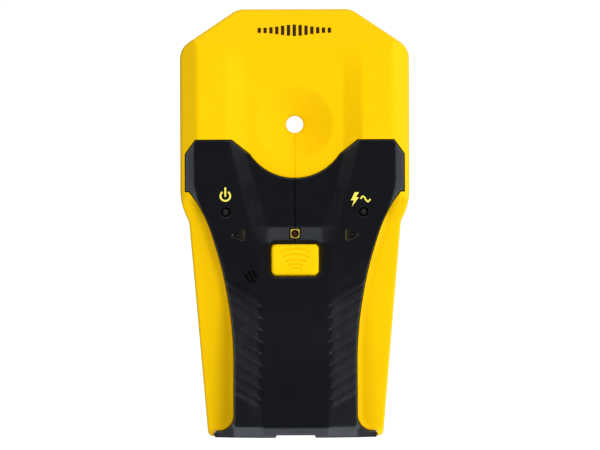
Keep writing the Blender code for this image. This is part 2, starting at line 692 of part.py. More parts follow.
def battery(parent):
    """9 V block battery with its two terminals, the snap on them and the snap's leads."""
    middle = (BATTERY_H0 + BATTERY_H1) / 2
    case = box_plan(-BATTERY_X, BATTERY_X, BATTERY_H0, BATTERY_H1, 2.4)
    corners, faces = [], []
    for y in (BATTERY_Y0, BATTERY_Y1):
        corners += [(x, y, h) for x, h in case]
    count = len(case)
    faces += [tuple(range(count)), tuple(range(count, 2 * count))]
    for k in range(count):
        after = (k + 1) % count
        faces.append((k, after, count + after, count + k))
    solid("battery_case", corners, faces, CELL, parent)

    low, top = BATTERY_Y1 + GAP, BATTERY_Y1 + 2.4
    stud_r, cup_r, wall = 2.9, 4.0, 0.8
    ring = [(cup_r - wall, 0), (cup_r, 0), (cup_r, top - low), (cup_r - wall, top - low)]
    turned("battery_positive", rod(stud_r, 0, top - low, 0.4), (-TERMINAL_X, low, middle), STEEL,
           parent, upright=True)
    turned("battery_negative", ring, (TERMINAL_X, low, middle), STEEL, parent, upright=True, steps=6)
    snap_y = top + GAP
    socket = [(stud_r + GAP, 0.6), (cup_r, 0.6), (cup_r, snap_y - low), (stud_r + GAP, snap_y - low)]
    turned("snap_socket", socket, (-TERMINAL_X, low, middle), STEEL, parent, upright=True)
    turned("snap_stud", rod(2.2, 0.6, snap_y - low), (TERMINAL_X, low, middle), STEEL, parent,
           upright=True)
    snap_h, base_y = 5.6, snap_y + GAP
    outline = box_plan(-12.6, 12.6, base_y, base_y + 2.6, 0.8)
    plate("snap_connector", outline, middle - snap_h, middle + snap_h, BLACK, parent)

    exit_y = base_y + 2.6 + GAP
    for name, side, finish in (("lead_red", -1, RED), ("lead_black", 1, BLACK)):
        knots = [(side * 5.2, exit_y, middle + 1.0), (side * 5.3, exit_y + 1.6, middle + 1.1),
                 (side * 5.8, exit_y + 4.4, middle + 0.4), (side * 6.6, exit_y + 6.6, middle - 2.0),
                 (side * 7.0, exit_y + 7.4, middle - 4.2), (side * 7.0, exit_y + 7.5, PCB_TOP)]
        tube(name, spline(knots, 3), 0.65, finish, parent)


def tube(name, points, radius, finish, parent):
    """Round lead along its route, as a bevelled curve with filled caps."""
    curve = bpy.data.curves.new(name, "CURVE")
    curve.dimensions = "3D"
    curve.bevel_depth = radius * MM
    curve.bevel_resolution = 2
    curve.use_fill_caps = True
    line = curve.splines.new("POLY")
    line.points.add(len(points) - 1)
    for point, place in zip(line.points, points):
        point.co = (*(c * MM for c in place), 1.0)
    add_object(name, curve, finish, parent)


# ---------------------------------------------------------------- door and screws

def battery_door(parent):
    """Rear door, drawn about its hinge line at the upper outer edge of the battery bay."""
    hinge = (0.0, DOOR_Y1, 0.0)
    outline = box_plan(-DOOR_X, DOOR_X, DOOR_Y0, DOOR_Y1, 1.0)
    hook_x, hook_half, hook_low, hook_top = 9.0, 2.0, WALL + 0.5, WALL + 1.5
    hooks = [box_plan(s * hook_x - hook_half, s * hook_x + hook_half, DOOR_Y1 - 2.4, DOOR_Y1 + 1.8)
             for s in (-1, 1)]
    thumb_half, thumb_depth = 6.0, 0.6
    thumb = box_plan(-thumb_half, thumb_half, DOOR_Y0 + 1.4, DOOR_Y0 + 6.4, 1.0)

    def layer(x, y):
        hooked = any(inside(hook, x, y) for hook in hooks)
        if inside(outline, x, y):
            low = thumb_depth if inside(thumb, x, y) else 0.0
            return low, (hook_top if hooked else DOOR_T)
        return (hook_low, hook_top) if hooked else None

    curves = [(points, True) for points in (outline, thumb, *hooks)]
    return layered("battery_door", curves, layer, YELLOW, parent, hinge)


def screws(parent):
    """Pan-head screws sunk in the rear shell, with a cross recess drawn as a round well."""
    head_r, head_low, seat, shank_r, end = 2.3, 0.2, 1.2, 1.1, 10.5
    for number, (x, y) in enumerate(SCREW_POINTS, 1):
        profile = [(0, head_low + 0.6), (0.8, head_low + 0.6), (1.0, head_low), (head_r, head_low),
                   (head_r, seat), (shank_r, seat), (shank_r, end - 1.0), (0.4, end), (0, end)]
        turned(f"case_screw_{number}", profile, (x, y, 0), STEEL, parent, steps=16)


def main():
    for old in list(bpy.data.objects):
        bpy.data.objects.remove(old, do_unlink=True)
    tool = bpy.data.objects.new("tool_frame", None)
    tool.location = (0.0, CROWN_H / 2 * MM, 0.0)
    tool.rotation_euler = (math.pi / 2, 0.0, 0.0)
    bpy.context.scene.collection.objects.link(tool)
    for make in (front_shell, rear_shell, grip_cover, button, switch, indicators, electronics,
                 battery, battery_door, screws):
        make(tool)


main()
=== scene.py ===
"""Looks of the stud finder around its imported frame.

The visible shells are drawn like the design: in the tool's plan frame (X right, Y up along the tool,
height above the sensing face), in millimetres, and set into the row's frame, where the tool stands
on its foot and its front looks along -Y.
"""
import math
import random

import bmesh
import bpy
import numpy as np
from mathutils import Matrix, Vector
from mathutils.geometry import delaunay_2d_cdt
from mathutils.kdtree import KDTree


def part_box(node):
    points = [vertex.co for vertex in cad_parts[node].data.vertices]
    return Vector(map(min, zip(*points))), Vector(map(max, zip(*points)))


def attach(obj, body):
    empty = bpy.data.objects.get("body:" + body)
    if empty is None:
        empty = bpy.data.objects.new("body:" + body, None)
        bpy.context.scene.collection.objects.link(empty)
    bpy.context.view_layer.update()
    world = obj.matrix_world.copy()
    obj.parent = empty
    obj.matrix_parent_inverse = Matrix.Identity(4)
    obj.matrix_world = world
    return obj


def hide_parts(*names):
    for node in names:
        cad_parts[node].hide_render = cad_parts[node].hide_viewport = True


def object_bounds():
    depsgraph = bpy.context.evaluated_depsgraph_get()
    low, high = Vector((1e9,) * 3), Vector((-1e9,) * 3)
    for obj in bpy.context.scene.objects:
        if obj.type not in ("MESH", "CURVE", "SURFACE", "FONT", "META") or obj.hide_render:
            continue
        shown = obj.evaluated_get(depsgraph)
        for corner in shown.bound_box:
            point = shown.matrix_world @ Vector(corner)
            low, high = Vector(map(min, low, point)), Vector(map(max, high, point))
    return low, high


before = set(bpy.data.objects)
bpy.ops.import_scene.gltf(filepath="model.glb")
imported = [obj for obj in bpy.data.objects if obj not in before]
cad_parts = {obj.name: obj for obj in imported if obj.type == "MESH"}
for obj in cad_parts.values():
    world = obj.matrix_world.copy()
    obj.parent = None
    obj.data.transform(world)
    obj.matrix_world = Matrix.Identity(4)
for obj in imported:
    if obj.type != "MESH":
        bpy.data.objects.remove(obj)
CAD_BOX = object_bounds()

MM = 0.001
LOW, HIGH = (Vector(corner) / MM for corner in CAD_BOX)
LENGTH = HIGH.z
HALF_WIDTH = HIGH.x
CROWN_H = HIGH.y - LOW.y        # thickest part of the grip
BACK_Y = HIGH.y                 # the sensing face, in the row's frame

GAP = 0.3
WALL = 2.0
ARC_STEP = math.radians(6)

# Plan outline of the yellow case, right half
SHOULDER_X, SHOULDER_Y = 20.4, 140.0
STEP_TOP_Y, STEP_LOW_X, STEP_LOW_Y = 84.0, 38.1, 77.7
LEG_END_X, LEG_END_Y = 31.5, 0.4

# Marking hole and dish
HOLE_Y, HOLE_R, DISH_R, DISH_SLOPE = 112.7, 3.1, 13.8, 0.52

# Heights above the sensing face; the black valley runs from the collar to the foot of the ramp
RIDGE_H, RAMP_FOOT_H, RAMP_HEAD_H, DECK_H = 24.0, 20.7, 23.4, 25.2
VALLEY_H, VALLEY_END_H, COLLAR_H = 18.6, 21.4, 20.1
LEG_H, HEAD_SIDE_H, PARTING_H, TONGUE_RISE = 11.0, 19.0, 7.0, 1.0
LEG_RISE_Y, LEG_RISE_SPAN, LEG_TOP_SLOPE = 40.0, 48.0, 0.8

# Facets of the head
BAND_Y, BAND_SLOPE = 140.8, 0.49
OUTER_X, OUTER_SLOPE = 35.0, 0.80
RIDGE_X, VALLEY_X, VALLEY_END_Y = 24.4, 17.5, 131.7

# Plan outline of the black cover, right half
HORN_TOP_Y, HORN_IN_X, HORN_OUT_X, HORN_SIDE_X = 106.9, 22.7, 35.7, 39.3
HORN_CUT_Y, HORN_LOW_Y = 101.9, 88.6
COLLAR_R = 19.6
COLLAR_Y = HOLE_Y - COLLAR_R
WAIST = [(38.0, 88.6), (34.7, 84.0), (31.1, 76.8), (28.2, 68.1), (25.9, 59.5),
         (24.2, 50.8), (22.8, 41.0), (22.1, 30.0), (22.1, 18.0), (22.1, 8.0)]
FOOT_X, FOOT_T = 29.2, 2.2
NOTCH_X, NOTCH_D = 6.8, 0.9

# Facets of the black cover; a RISE is how far a crease moves outwards for each step upwards
CREST_LOW_X, CREST_Y, CREST_RISE = 11.6, 55.4, 0.243
FLOOR_LOW_X, FLOOR_Y, FLOOR_RISE = 9.6, 76.0, 0.29
RAMP_TOP_Y, RAMP_LOW_Y, DECK_Y = 76.0, 69.8, 58.2
WALL_CLOSING, WALL_LEAST = 0.10, 0.05
GRIP_SLOPE, GRIP_TURN_SPAN = 0.62, 35.0
CROWN_Y0, CROWN_Y1 = 56.0, 18.0
DECK_RISE_Y, DECK_RISE_SPAN = 88.0, 18.0
HORN_END_Y, HORN_BEND_Y, HORN_LEAN = 80.0, 92.0, 0.19
WING_H, WING_SLOPE = 24.7, 1.12

# Button, indicators and grille
BUTTON_X, BUTTON_Y0, BUTTON_Y1, BUTTON_R = 8.5, 58.4, 69.5, 1.8
BUTTON_TOP_H, BUTTON_GAP = 26.1, 0.4
LED_HOLE_R = 1.8
POWER_AT, AC_AT = (-24.9, 81.1), (24.7, 81.1)
WINDOW_Y, WINDOW_BASE_X, WINDOW_APEX_X, WINDOW_HALF = 72.9, 18.2, 23.8, 2.1
CENTRE_Y, BEZEL_HALF = 73.3, 1.7
GRILLE_AT = (-15.7, 57.9)

# Rear
DOOR_X, DOOR_Y0, DOOR_Y1, DOOR_T = 16.0, 4.8, 58.0, 1.8
SCREW_POINTS = [(-31.0, 137.0), (31.0, 137.0), (-31.6, 66.0), (31.6, 66.0)]

# Heights over which creases are rounded
VALLEY_SOFT, RIDGE_SOFT, DISH_SOFT, FACET_SOFT, GRIP_SOFT = 0.12, 0.15, 0.1, 0.2, 0.25
LEG_SOFT, CHAMFER_SOFT = 0.8, 0.5

OUT_OF_REACH = 9.0              # lifts a facet clear of the ones it would cut
SMOOTH_ANGLE = 38               # degrees between faces that still shade as one


# ---- plan curves

def arc(cx, cy, radius, start, end, steps=None):
    """Points on an arc, both ends included; angles in degrees."""
    a0, a1 = math.radians(start), math.radians(end)
    count = steps or max(2, math.ceil(abs(a1 - a0) / ARC_STEP))
    turns = [a0 + (a1 - a0) * i / count for i in range(count + 1)]
    return [(cx + radius * math.cos(t), cy + radius * math.sin(t)) for t in turns]


def circle(cx, cy, radius, steps=48):
    return arc(cx, cy, radius, 0, 360, steps)[:-1]


def rounded(corners):
    """Closed outline from (x, y, radius) corners, each rounded by its radius."""
    points = []
    for i, (x, y, radius) in enumerate(corners):
        here = Vector((x, y))
        if radius <= 0.0:
            points.append((x, y))
            continue
        back = (Vector(corners[i - 1][:2]) - here).normalized()
        ahead = (Vector(corners[(i + 1) % len(corners)][:2]) - here).normalized()
        half = back.angle(ahead) / 2.0
        centre = here + (back + ahead).normalized() * (radius / math.sin(half))
        first = here + back * (radius / math.tan(half)) - centre
        last = here + ahead * (radius / math.tan(half)) - centre
        sweep = first.angle_signed(last)
        count = max(2, math.ceil(abs(sweep) / ARC_STEP))
        for k in range(count + 1):
            t = -sweep * k / count
            points.append((centre.x + first.x * math.cos(t) - first.y * math.sin(t),
                           centre.y + first.x * math.sin(t) + first.y * math.cos(t)))
    return points


def spline(knots, per_span=8):
    """Catmull-Rom curve through the knots."""
    ends = [knots[0], *knots, knots[-1]]
    points = []
    for a, b, c, d in zip(ends, ends[1:], ends[2:], ends[3:]):
        for k in range(per_span):
            t = k / per_span
            points.append(tuple(
                0.5 * (2 * q + (r - p) * t + (2 * p - 5 * q + 4 * r - s) * t * t
                       + (3 * q - p - 3 * r + s) * t ** 3)
                for p, q, r, s in zip(a, b, c, d)))
    return points + [tuple(knots[-1])]


def mirrored(right_half):
    """Closed outline from its right half, which runs from the top to the bottom."""
    left = [(-x, y) for x, y in reversed(right_half) if x > 1e-6]
    return right_half + left


def box_plan(x0, x1, y0, y1, radius=0.0):
    return rounded([(x0, y0, radius), (x1, y0, radius), (x1, y1, radius), (x0, y1, radius)])


def middle_box(half, y0, y1, radius=0.0):
    """Box centred on the tool's middle line."""
    return box_plan(-half, half, y0, y1, radius)


def box_pair(x, half, y0, y1):
    """Two upright boxes, one on each side of the middle line."""
    return [box_plan(s * x - half, s * x + half, y0, y1) for s in (-1, 1)]


def stretches(points, looped=True):
    """Pairs of neighbouring points, around an outline or along an open curve."""
    return zip(points, points[1:] + points[:1] if looped else points[1:])


def grown(points, distance):
    """The outline moved outwards by a distance (inwards if negative)."""
    area = sum(a[0] * b[1] - b[0] * a[1] for a, b in stretches(points))
    side = distance if area > 0 else -distance
    result = []
    for i, point in enumerate(points):
        before = (Vector(point) - Vector(points[i - 1])).normalized()
        after = (Vector(points[(i + 1) % len(points)]) - Vector(point)).normalized()
        normal = Vector((before.y + after.y, -before.x - after.x)).normalized()
        stretch = max(0.4, normal.dot(Vector((before.y, -before.x))))
        moved = Vector(point) + normal * (side / stretch)
        result.append((moved.x, moved.y))
    return result


def inside(points, x, y):
    """Mask of the points that lie inside the closed outline."""
    found = np.zeros(np.shape(x), bool)
    for (ax, ay), (bx, by) in stretches(points):
        if ay == by:
            continue
        crosses = (ay > y) != (by > y)
        found ^= crosses & (x < ax + (y - ay) * (bx - ax) / (by - ay))
    return found


def distance_to(points, x, y):
    """Distance from each point to the nearest stretch of the outline."""
    least = np.full(np.shape(x), 1e9)
    for (ax, ay), (bx, by) in stretches(points):
        dx, dy = bx - ax, by - ay
        share = np.clip(((x - ax) * dx + (y - ay) * dy) / max(dx * dx + dy * dy, 1e-12), 0, 1)
        least = np.minimum(least, np.hypot(x - ax - share * dx, y - ay - share * dy))
    return least


def resampled(points, looped, step):
    """The curve with every stretch cut to at most one step."""
    result = []
    for (ax, ay), (bx, by) in stretches(points, looped):
        count = max(1, math.ceil(math.hypot(bx - ax, by - ay) / step))
        result += [(ax + (bx - ax) * k / count, ay + (by - ay) * k / count) for k in range(count)]
    return result if looped else result + [points[-1]]


# ---- outlines of the casing

def case_outline():
    corner = 7.0
    ring = rounded([(SHOULDER_X, LENGTH, corner), (HALF_WIDTH, SHOULDER_Y, corner),
                    (HALF_WIDTH, STEP_TOP_Y, 20.0), (STEP_LOW_X, STEP_LOW_Y, 5.0),
                    (LEG_END_X, LEG_END_Y, 2.0), (0.0, LEG_END_Y, 0.0), (0.0, LENGTH, 0.0)])
    return mirrored([(0.0, LENGTH)] + ring[:-2] + [(0.0, LEG_END_Y)])


def cover_outline():
    start = math.degrees(math.asin((HOLE_Y - HORN_CUT_Y) / COLLAR_R))
    collar = arc(0.0, HOLE_Y, COLLAR_R, -90.0, -start, 24)
    horn = [(HORN_IN_X, HORN_TOP_Y), (HORN_OUT_X, HORN_TOP_Y), (HORN_SIDE_X, HORN_CUT_Y),
            (HORN_SIDE_X, HORN_LOW_Y)]
    end_x, end_y = WAIST[-1]
    flare_r, tip, bevel, under = 5.8, 0.7, 0.2, 0.3
    flare = arc(end_x + flare_r, end_y, flare_r, 180.0, 270.0)
    foot = [(FOOT_X - tip, FOOT_T), (FOOT_X - bevel, FOOT_T - bevel), (FOOT_X, FOOT_T - tip),
            (FOOT_X, under), (FOOT_X - under, 0.0), (NOTCH_X + NOTCH_D / 2, 0.0),
            (NOTCH_X, NOTCH_D), (0.0, NOTCH_D)]
    return mirrored(collar + horn + spline(WAIST) + flare[1:] + foot)


CASE = case_outline()
CASE_INNER = grown(CASE, -WALL)
TONGUE_INSET, GROOVE_INSET = 1.1, 0.95
TONGUE = grown(CASE, -TONGUE_INSET)      # outer side of the rear shell's tongue
GROOVE = grown(CASE, -GROOVE_INSET)      # the front shell's groove that takes it
COVER = cover_outline()
COVER_CUT = grown(COVER, GAP)
COVER_KEEP = grown(COVER, GAP + WALL)
COVER_INNER = [p for p in grown(COVER, -WALL) if p[1] > FOOT_T + 0.2]
BELOW_Y, FOOT_GAP, FOOT_CORNER = -1.0, 0.1, 0.75
FOOT_CUT = rounded([(-FOOT_X - FOOT_GAP, BELOW_Y, 0.0), (FOOT_X + FOOT_GAP, BELOW_Y, 0.0),
                    (FOOT_X + FOOT_GAP, FOOT_T + FOOT_GAP, FOOT_CORNER),
                    (-FOOT_X - FOOT_GAP, FOOT_T + FOOT_GAP, FOOT_CORNER)])
FOOT_KEEP = middle_box(FOOT_X + GAP + WALL, BELOW_Y, FOOT_T + GAP + WALL)


# ---- relief of the front

def smooth(value):
    t = np.clip(value, 0.0, 1.0)
    return t * t * (3.0 - 2.0 * t)


def soft_min(a, b, blend):
    """Lower of two surfaces, their crease rounded over a height of blend."""
    share = np.maximum(blend - np.abs(a - b), 0.0) / blend
    return np.minimum(a, b) - share * share * blend / 4.0


def soft_max(a, b, blend):
    return -soft_min(-a, -b, blend)


def edge_drop(distance, radius):
    """How far a rounded edge lies below its surface, by the distance from its outline."""
    inward = np.clip(radius - distance, 0.0, radius)
    return radius - np.sqrt(radius * radius - inward * inward)


def head_height(x, y):
    """Front surface of the yellow head, before its edges are rounded."""
    side = np.abs(x)
    floor = head_floor(y)
    wall = floor + (side - VALLEY_X) / (RIDGE_X - VALLEY_X) * (RIDGE_H - floor)
    dish = floor - DISH_SLOPE * (DISH_R - np.hypot(x, y - HOLE_Y))
    height = soft_min(soft_max(floor, wall, VALLEY_SOFT), RIDGE_H, RIDGE_SOFT)
    height = soft_min(height, dish, DISH_SOFT)
    height = soft_min(height, RIDGE_H - BAND_SLOPE * (y - BAND_Y), FACET_SOFT)
    return soft_min(height, RIDGE_H - OUTER_SLOPE * (side - OUTER_X), FACET_SOFT)


def head_floor(y):
    """The head's valley drops from the top band, then deepens slowly towards the collar."""
    end = RIDGE_H - (RIDGE_H - VALLEY_END_H) * (BAND_Y - y) / (BAND_Y - VALLEY_END_Y)
    rise = (VALLEY_END_H - VALLEY_H) * (y - COLLAR_Y) / (VALLEY_END_Y - COLLAR_Y)
    return np.minimum(RIDGE_H, soft_max(end, VALLEY_H + np.maximum(0.0, rise), FACET_SOFT))


def leg_height(y):
    """The legs climb to the side of the head, and go on above it out of the head's way."""
    rise = smooth((y - LEG_RISE_Y) / LEG_RISE_SPAN)
    return LEG_H + (HEAD_SIDE_H - LEG_H) * rise + LEG_TOP_SLOPE * np.maximum(0.0, y - STEP_TOP_Y)


def crest_x(y):
    """Where the grip's sides and the horns' tops start, from the middle."""
    return CREST_LOW_X + CREST_RISE * np.maximum(0.0, y - CREST_Y)


def wall_x(y):
    """Upper edge of the valley's walls, which close in on the button below the ramp's foot."""
    edge = crest_x(y) - WALL_CLOSING * np.maximum(0.0, FLOOR_Y - y)
    return np.maximum(edge, floor_x(y) + WALL_LEAST)


def floor_x(y):
    """Foot of the valley's walls."""
    return FLOOR_LOW_X + FLOOR_RISE * np.maximum(0.0, y - FLOOR_Y)


def valley_floor(y):
    """The cover's valley climbs from the collar to the foot of the ramp."""
    climb = np.clip((COLLAR_Y - y) / (COLLAR_Y - RAMP_TOP_Y), 0, 1)
    return COLLAR_H + (RAMP_FOOT_H - COLLAR_H) * climb


def crown_height(y):
    """Height of the black cover along its middle, deck and shoulders."""
    upper = RIDGE_H + (DECK_H - RIDGE_H) * np.clip((DECK_RISE_Y - y) / DECK_RISE_SPAN, 0, 1)
    grip = DECK_H + (CROWN_H - DECK_H) * smooth((CROWN_Y0 - y) / (CROWN_Y0 - CROWN_Y1))
    return np.where(y > CROWN_Y0, upper, grip)


def horn_edge(y):
    """Where the outer facet of the cover's horns starts."""
    lean = HORN_LEAN * np.maximum(0.0, HORN_BEND_Y - y)
    return HORN_OUT_X - lean - (crown_height(y) - RIDGE_H) / OUTER_SLOPE


def cover_base(x, y):
    """Front surface of the black cover, without its ribs and rounded edges."""
    side = np.abs(x)
    crown = crown_height(y)
    slope = GRIP_SLOPE * smooth((HORN_END_Y - y) / GRIP_TURN_SPAN)
    height = soft_min(crown, crown - slope * (side - crest_x(y)), GRIP_SOFT)
    horn = crown - OUTER_SLOPE * (side - horn_edge(y))
    horn = np.where(y > HORN_END_Y, horn, height + OUT_OF_REACH)
    height = soft_min(height, horn, FACET_SOFT)
    ramp = RAMP_FOOT_H + (RAMP_HEAD_H - RAMP_FOOT_H) * (RAMP_TOP_Y - y) / (RAMP_TOP_Y - RAMP_LOW_Y)
    deck = DECK_H - (DECK_H - RAMP_HEAD_H) * (y - DECK_Y) / (RAMP_LOW_Y - DECK_Y)
    floor = soft_max(valley_floor(y), np.minimum(ramp, deck), VALLEY_SOFT)
    across = (side - floor_x(y)) / (wall_x(y) - floor_x(y))
    wall = floor + (crown - floor) * across
    valley = np.where(y > DECK_Y, soft_max(floor, wall, VALLEY_SOFT), height + OUT_OF_REACH)
    height = soft_min(height, valley, RIDGE_SOFT)
    end_x, end_y = WAIST[-1]
    wing = WING_H - WING_SLOPE * (side - end_x)
    return np.where(y < end_y, np.minimum(height, wing), height)


# ---- building meshes

def loops(*outlines):
    """Outlines as the closed curves of layered_mesh."""
    return [(points, True) for points in outlines]


def lines(*paths):
    """Paths as the open curves of layered_mesh."""
    return [(list(points), False) for points in paths]


def stack(*steps):
    """A layer_at for layered_mesh: each step is a layer and its outlines, and later steps win."""
    def layer_at(x, y):
        number = np.full(np.shape(x), -1)
        for layer, *outlines in steps:
            for outline in outlines:
                number[inside(outline, x, y)] = layer
        return number
    return layer_at


def finished(work, mesh, smooth_angle=SMOOTH_ANGLE):
    """The mesh filled from a bmesh, with its faces outwards and its sharp edges marked."""
    bmesh.ops.recalc_face_normals(work, faces=work.faces)
    work.to_mesh(mesh)
    work.free()
    mesh.shade_smooth()
    mesh.set_sharp_from_angle(angle=math.radians(smooth_angle))
    return mesh


def lofted(sections, smooth_angle=SMOOTH_ANGLE):
    """Solid through sections of (x, height, y) points; an end section may be a single point."""
    work = bmesh.new()
    made = [[work.verts.new((x * MM, (BACK_Y - h) * MM, y * MM)) for x, h, y in section]
            for section in sections]
    count = max(len(section) for section in made)
    for one, two in zip(made, made[1:]):
        for k in range(count):
            after = (k + 1) % count
            turns = ((one, k), (one, after), (two, after), (two, k))
            corners = list(dict.fromkeys(ring[n % len(ring)] for ring, n in turns))
            if len(corners) > 2:
                work.faces.new(corners)
    for end in (made[0], made[-1]):
        if len(end) > 2:
            work.faces.new(end)
    return finished(work, bpy.data.meshes.new("piece"), smooth_angle)


def hex_points(outline, spacing, curves):
    """Evenly spread points inside the outline, clear of the curves."""
    xs, ys = np.array(outline).T
    grid = []
    for number, y in enumerate(np.arange(ys.min(), ys.max(), spacing * math.sqrt(3.0) / 2.0)):
        row = np.arange(xs.min() + (number % 2) * spacing / 2.0, xs.max(), spacing)
        grid.append(np.stack([row, np.full(len(row), y)], axis=1))
    grid = np.concatenate(grid)
    grid = grid[inside(outline, grid[:, 0], grid[:, 1])]
    taken = [point for curve in curves for point in curve]
    tree = KDTree(len(taken))
    for number, (px, py) in enumerate(taken):
        tree.insert((px, py, 0.0), number)
    tree.balance()
    clear = spacing * 0.55
    return [(px, py) for px, py in grid if tree.find((px, py, 0.0))[2] > clear]


def layered_mesh(outline, curves, layers, layer_at, spacing):
    """Closed mesh over the plan.

    curves are outlines and crease lines, as (points, looped). layers lists (low, high) surfaces,
    each a height or a function of x and y. layer_at(x, y) gives the number of the layer at each
    point, or -1 where there is no material. Steps between neighbouring layers become upright walls.
    """
    fine = [(resampled(points, looped, spacing), looped) for points, looped in curves]
    corners, edges = [], []
    for points, looped in fine:
        first = len(corners)
        corners += [Vector(p) for p in points]
        edges += [(first + i, first + i + 1) for i in range(len(points) - 1)]
        if looped:
            edges.append((first + len(points) - 1, first))
    corners += [Vector(p) for p in hex_points(outline, spacing, [c for c, _ in fine])]
    plan, _, triangles, *_ = delaunay_2d_cdt(corners, edges, [], 0, 1e-4)
    flat = np.array([tuple(p) for p in plan])
    triangles = np.array(triangles)
    middle = flat[triangles].mean(axis=1)
    owner = layer_at(middle[:, 0], middle[:, 1])
    triangles, owner = triangles[owner >= 0], owner[owner >= 0]

    surfaces = np.zeros((len(layers), 2, len(flat)))
    for number, span in enumerate(layers):
        used = np.unique(triangles[owner == number])
        for side, surface in enumerate(span):
            value = surface(flat[used, 0], flat[used, 1]) if callable(surface) else surface
            surfaces[number, side, used] = np.round(value, 3)

    levels, borders = {}, {}
    for corner_set, layer in zip(triangles.tolist(), owner):
        for k, i in enumerate(corner_set):
            levels.setdefault(i, set()).update(surfaces[layer, :, i])
            border = tuple(sorted((i, corner_set[(k + 1) % 3])))
            borders.setdefault(border, []).append(layer)

    vertices, numbers, faces = [], {}, []

    def corner_number(i, h):
        key = (i, h)
        if key not in numbers:
            numbers[key] = len(vertices)
            vertices.append((flat[i, 0] * MM, (BACK_Y - h) * MM, flat[i, 1] * MM))
        return numbers[key]

    def upright(ends, one, other):
        loop = []
        for end, reverse in zip(ends, (False, True)):
            low, high = sorted((one[end], other[end]))
            heights = sorted((h for h in levels[end] if low <= h <= high), reverse=reverse)
            loop += [corner_number(end, h) for h in heights]
        if len(loop) > 2:
            faces.append(loop)

    for corner_set, layer in zip(triangles.tolist(), owner):
        low, high = surfaces[layer]
        faces.append([corner_number(i, high[i]) for i in corner_set])
        faces.append([corner_number(i, low[i]) for i in reversed(corner_set)])
    for border, owners in borders.items():
        first = surfaces[owners[0]]
        if len(owners) == 1:
            upright(border, first[0], first[1])
        elif owners[0] != owners[1]:
            second = surfaces[owners[1]]
            for side in (0, 1):
                upright(border, first[side], second[side])

    mesh = bpy.data.meshes.new("piece")
    mesh.from_pydata(vertices, [], faces)
    work = bmesh.new()
    work.from_mesh(mesh)
    bmesh.ops.triangulate(work, faces=[f for f in work.faces if len(f.verts) > 4])
    return finished(work, mesh)


def linked(name, data):
    """New object in the scene."""
    made = bpy.data.objects.new(name, data)
    bpy.context.scene.collection.objects.link(made)
    return made


def place(name, mesh, material, slot, *nodes, body="case"):
    """Puts a finished mesh into the scene, on its body, in place of the CAD nodes it stands for."""
    mesh.name = name
    mesh.materials.append(material)
    made = linked(name, mesh)
    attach(made, body)
    if nodes:
        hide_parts(*nodes)


# ---- node trees

def feed(tree, socket, value):
    """Gives an input a value, or links it to an output; a node stands for its first usable one."""
    if isinstance(value, bpy.types.Node):
        value = next(output for output in value.outputs if output.enabled)
    if isinstance(value, bpy.types.NodeSocket):
        tree.links.new(value, socket)
    else:
        socket.default_value = value


def set_up(tree, node, settings):
    """Settings with a capital are inputs, with an underscore for a space; others are properties."""
    for key, value in settings.items():
        if key[0].isupper():
            feed(tree, node.inputs[key.replace("_", " ")], value)
        else:
            setattr(node, key, value)


def add(tree, kind, **settings):
    node = tree.nodes.new("ShaderNode" + kind)
    set_up(tree, node, settings)
    return node


def coordinates(tree):
    return add(tree, "TexCoord").outputs["Object"]


def finish(material, **settings):
    """Sets up the main shader of a material."""
    tree = material.node_tree
    set_up(tree, tree.nodes["Principled BSDF"], settings)


def new_material(name):
    made = bpy.data.materials.new(name)
    made.use_nodes = True
    return made, made.node_tree


# ---- materials

def colour(red, green, blue):
    """Linear colour from display values of 0 to 255."""
    return tuple((value / 255.0) ** 2.2 for value in (red, green, blue))


def scaled(tone, factor=1.0):
    """A tone made lighter or darker, with its alpha."""
    return (*(min(1.0, c * factor) for c in tone), 1.0)


def moulded(name, tone, roughness, level, tint=(1.0, 1.0, 1.0, 1.0), grain=0.35, spread=0.03, coat=0.0):
    """Moulded plastic: faint mottling of its colour, fine spark-eroded grain and uneven gloss."""
    made, tree = new_material(name)
    coords = coordinates(tree)
    clouds = add(tree, "TexNoise", Scale=140.0, Detail=3.0, Vector=coords)
    mottled = add(tree, "Mix", data_type="RGBA", A=scaled(tone, 1.0 - spread),
                  B=scaled(tone, 1.0 + spread), Factor=clouds)
    gloss = add(tree, "MapRange", From_Min=0.3, From_Max=0.7, To_Min=roughness - 0.04,
                To_Max=roughness + 0.04, Value=clouds)
    fine = add(tree, "TexNoise", Scale=4200.0, Detail=2.0, Vector=coords)
    bump = add(tree, "Bump", Strength=grain, Distance=0.00003, Height=fine)
    finish(made, Specular_IOR_Level=level, Specular_Tint=tint, Coat_Weight=coat,
           Base_Color=mottled, Roughness=gloss, Normal=bump)
    return made


def brushed(name, tone, roughness):
    """Plated or drawn metal with fine lines along one direction."""
    made, tree = new_material(name)
    along = add(tree, "Mapping", Scale=(900.0, 900.0, 60.0), Vector=coordinates(tree))
    grooves = add(tree, "TexNoise", Scale=2.0, Detail=4.0, Vector=along)
    worn = add(tree, "Mix", data_type="RGBA", A=scaled(tone, 0.82), B=scaled(tone), Factor=grooves)
    gloss = add(tree, "MapRange", To_Min=roughness - 0.08, To_Max=roughness + 0.1, Value=grooves)
    finish(made, Metallic=1.0, Base_Color=worn, Roughness=gloss)
    return made


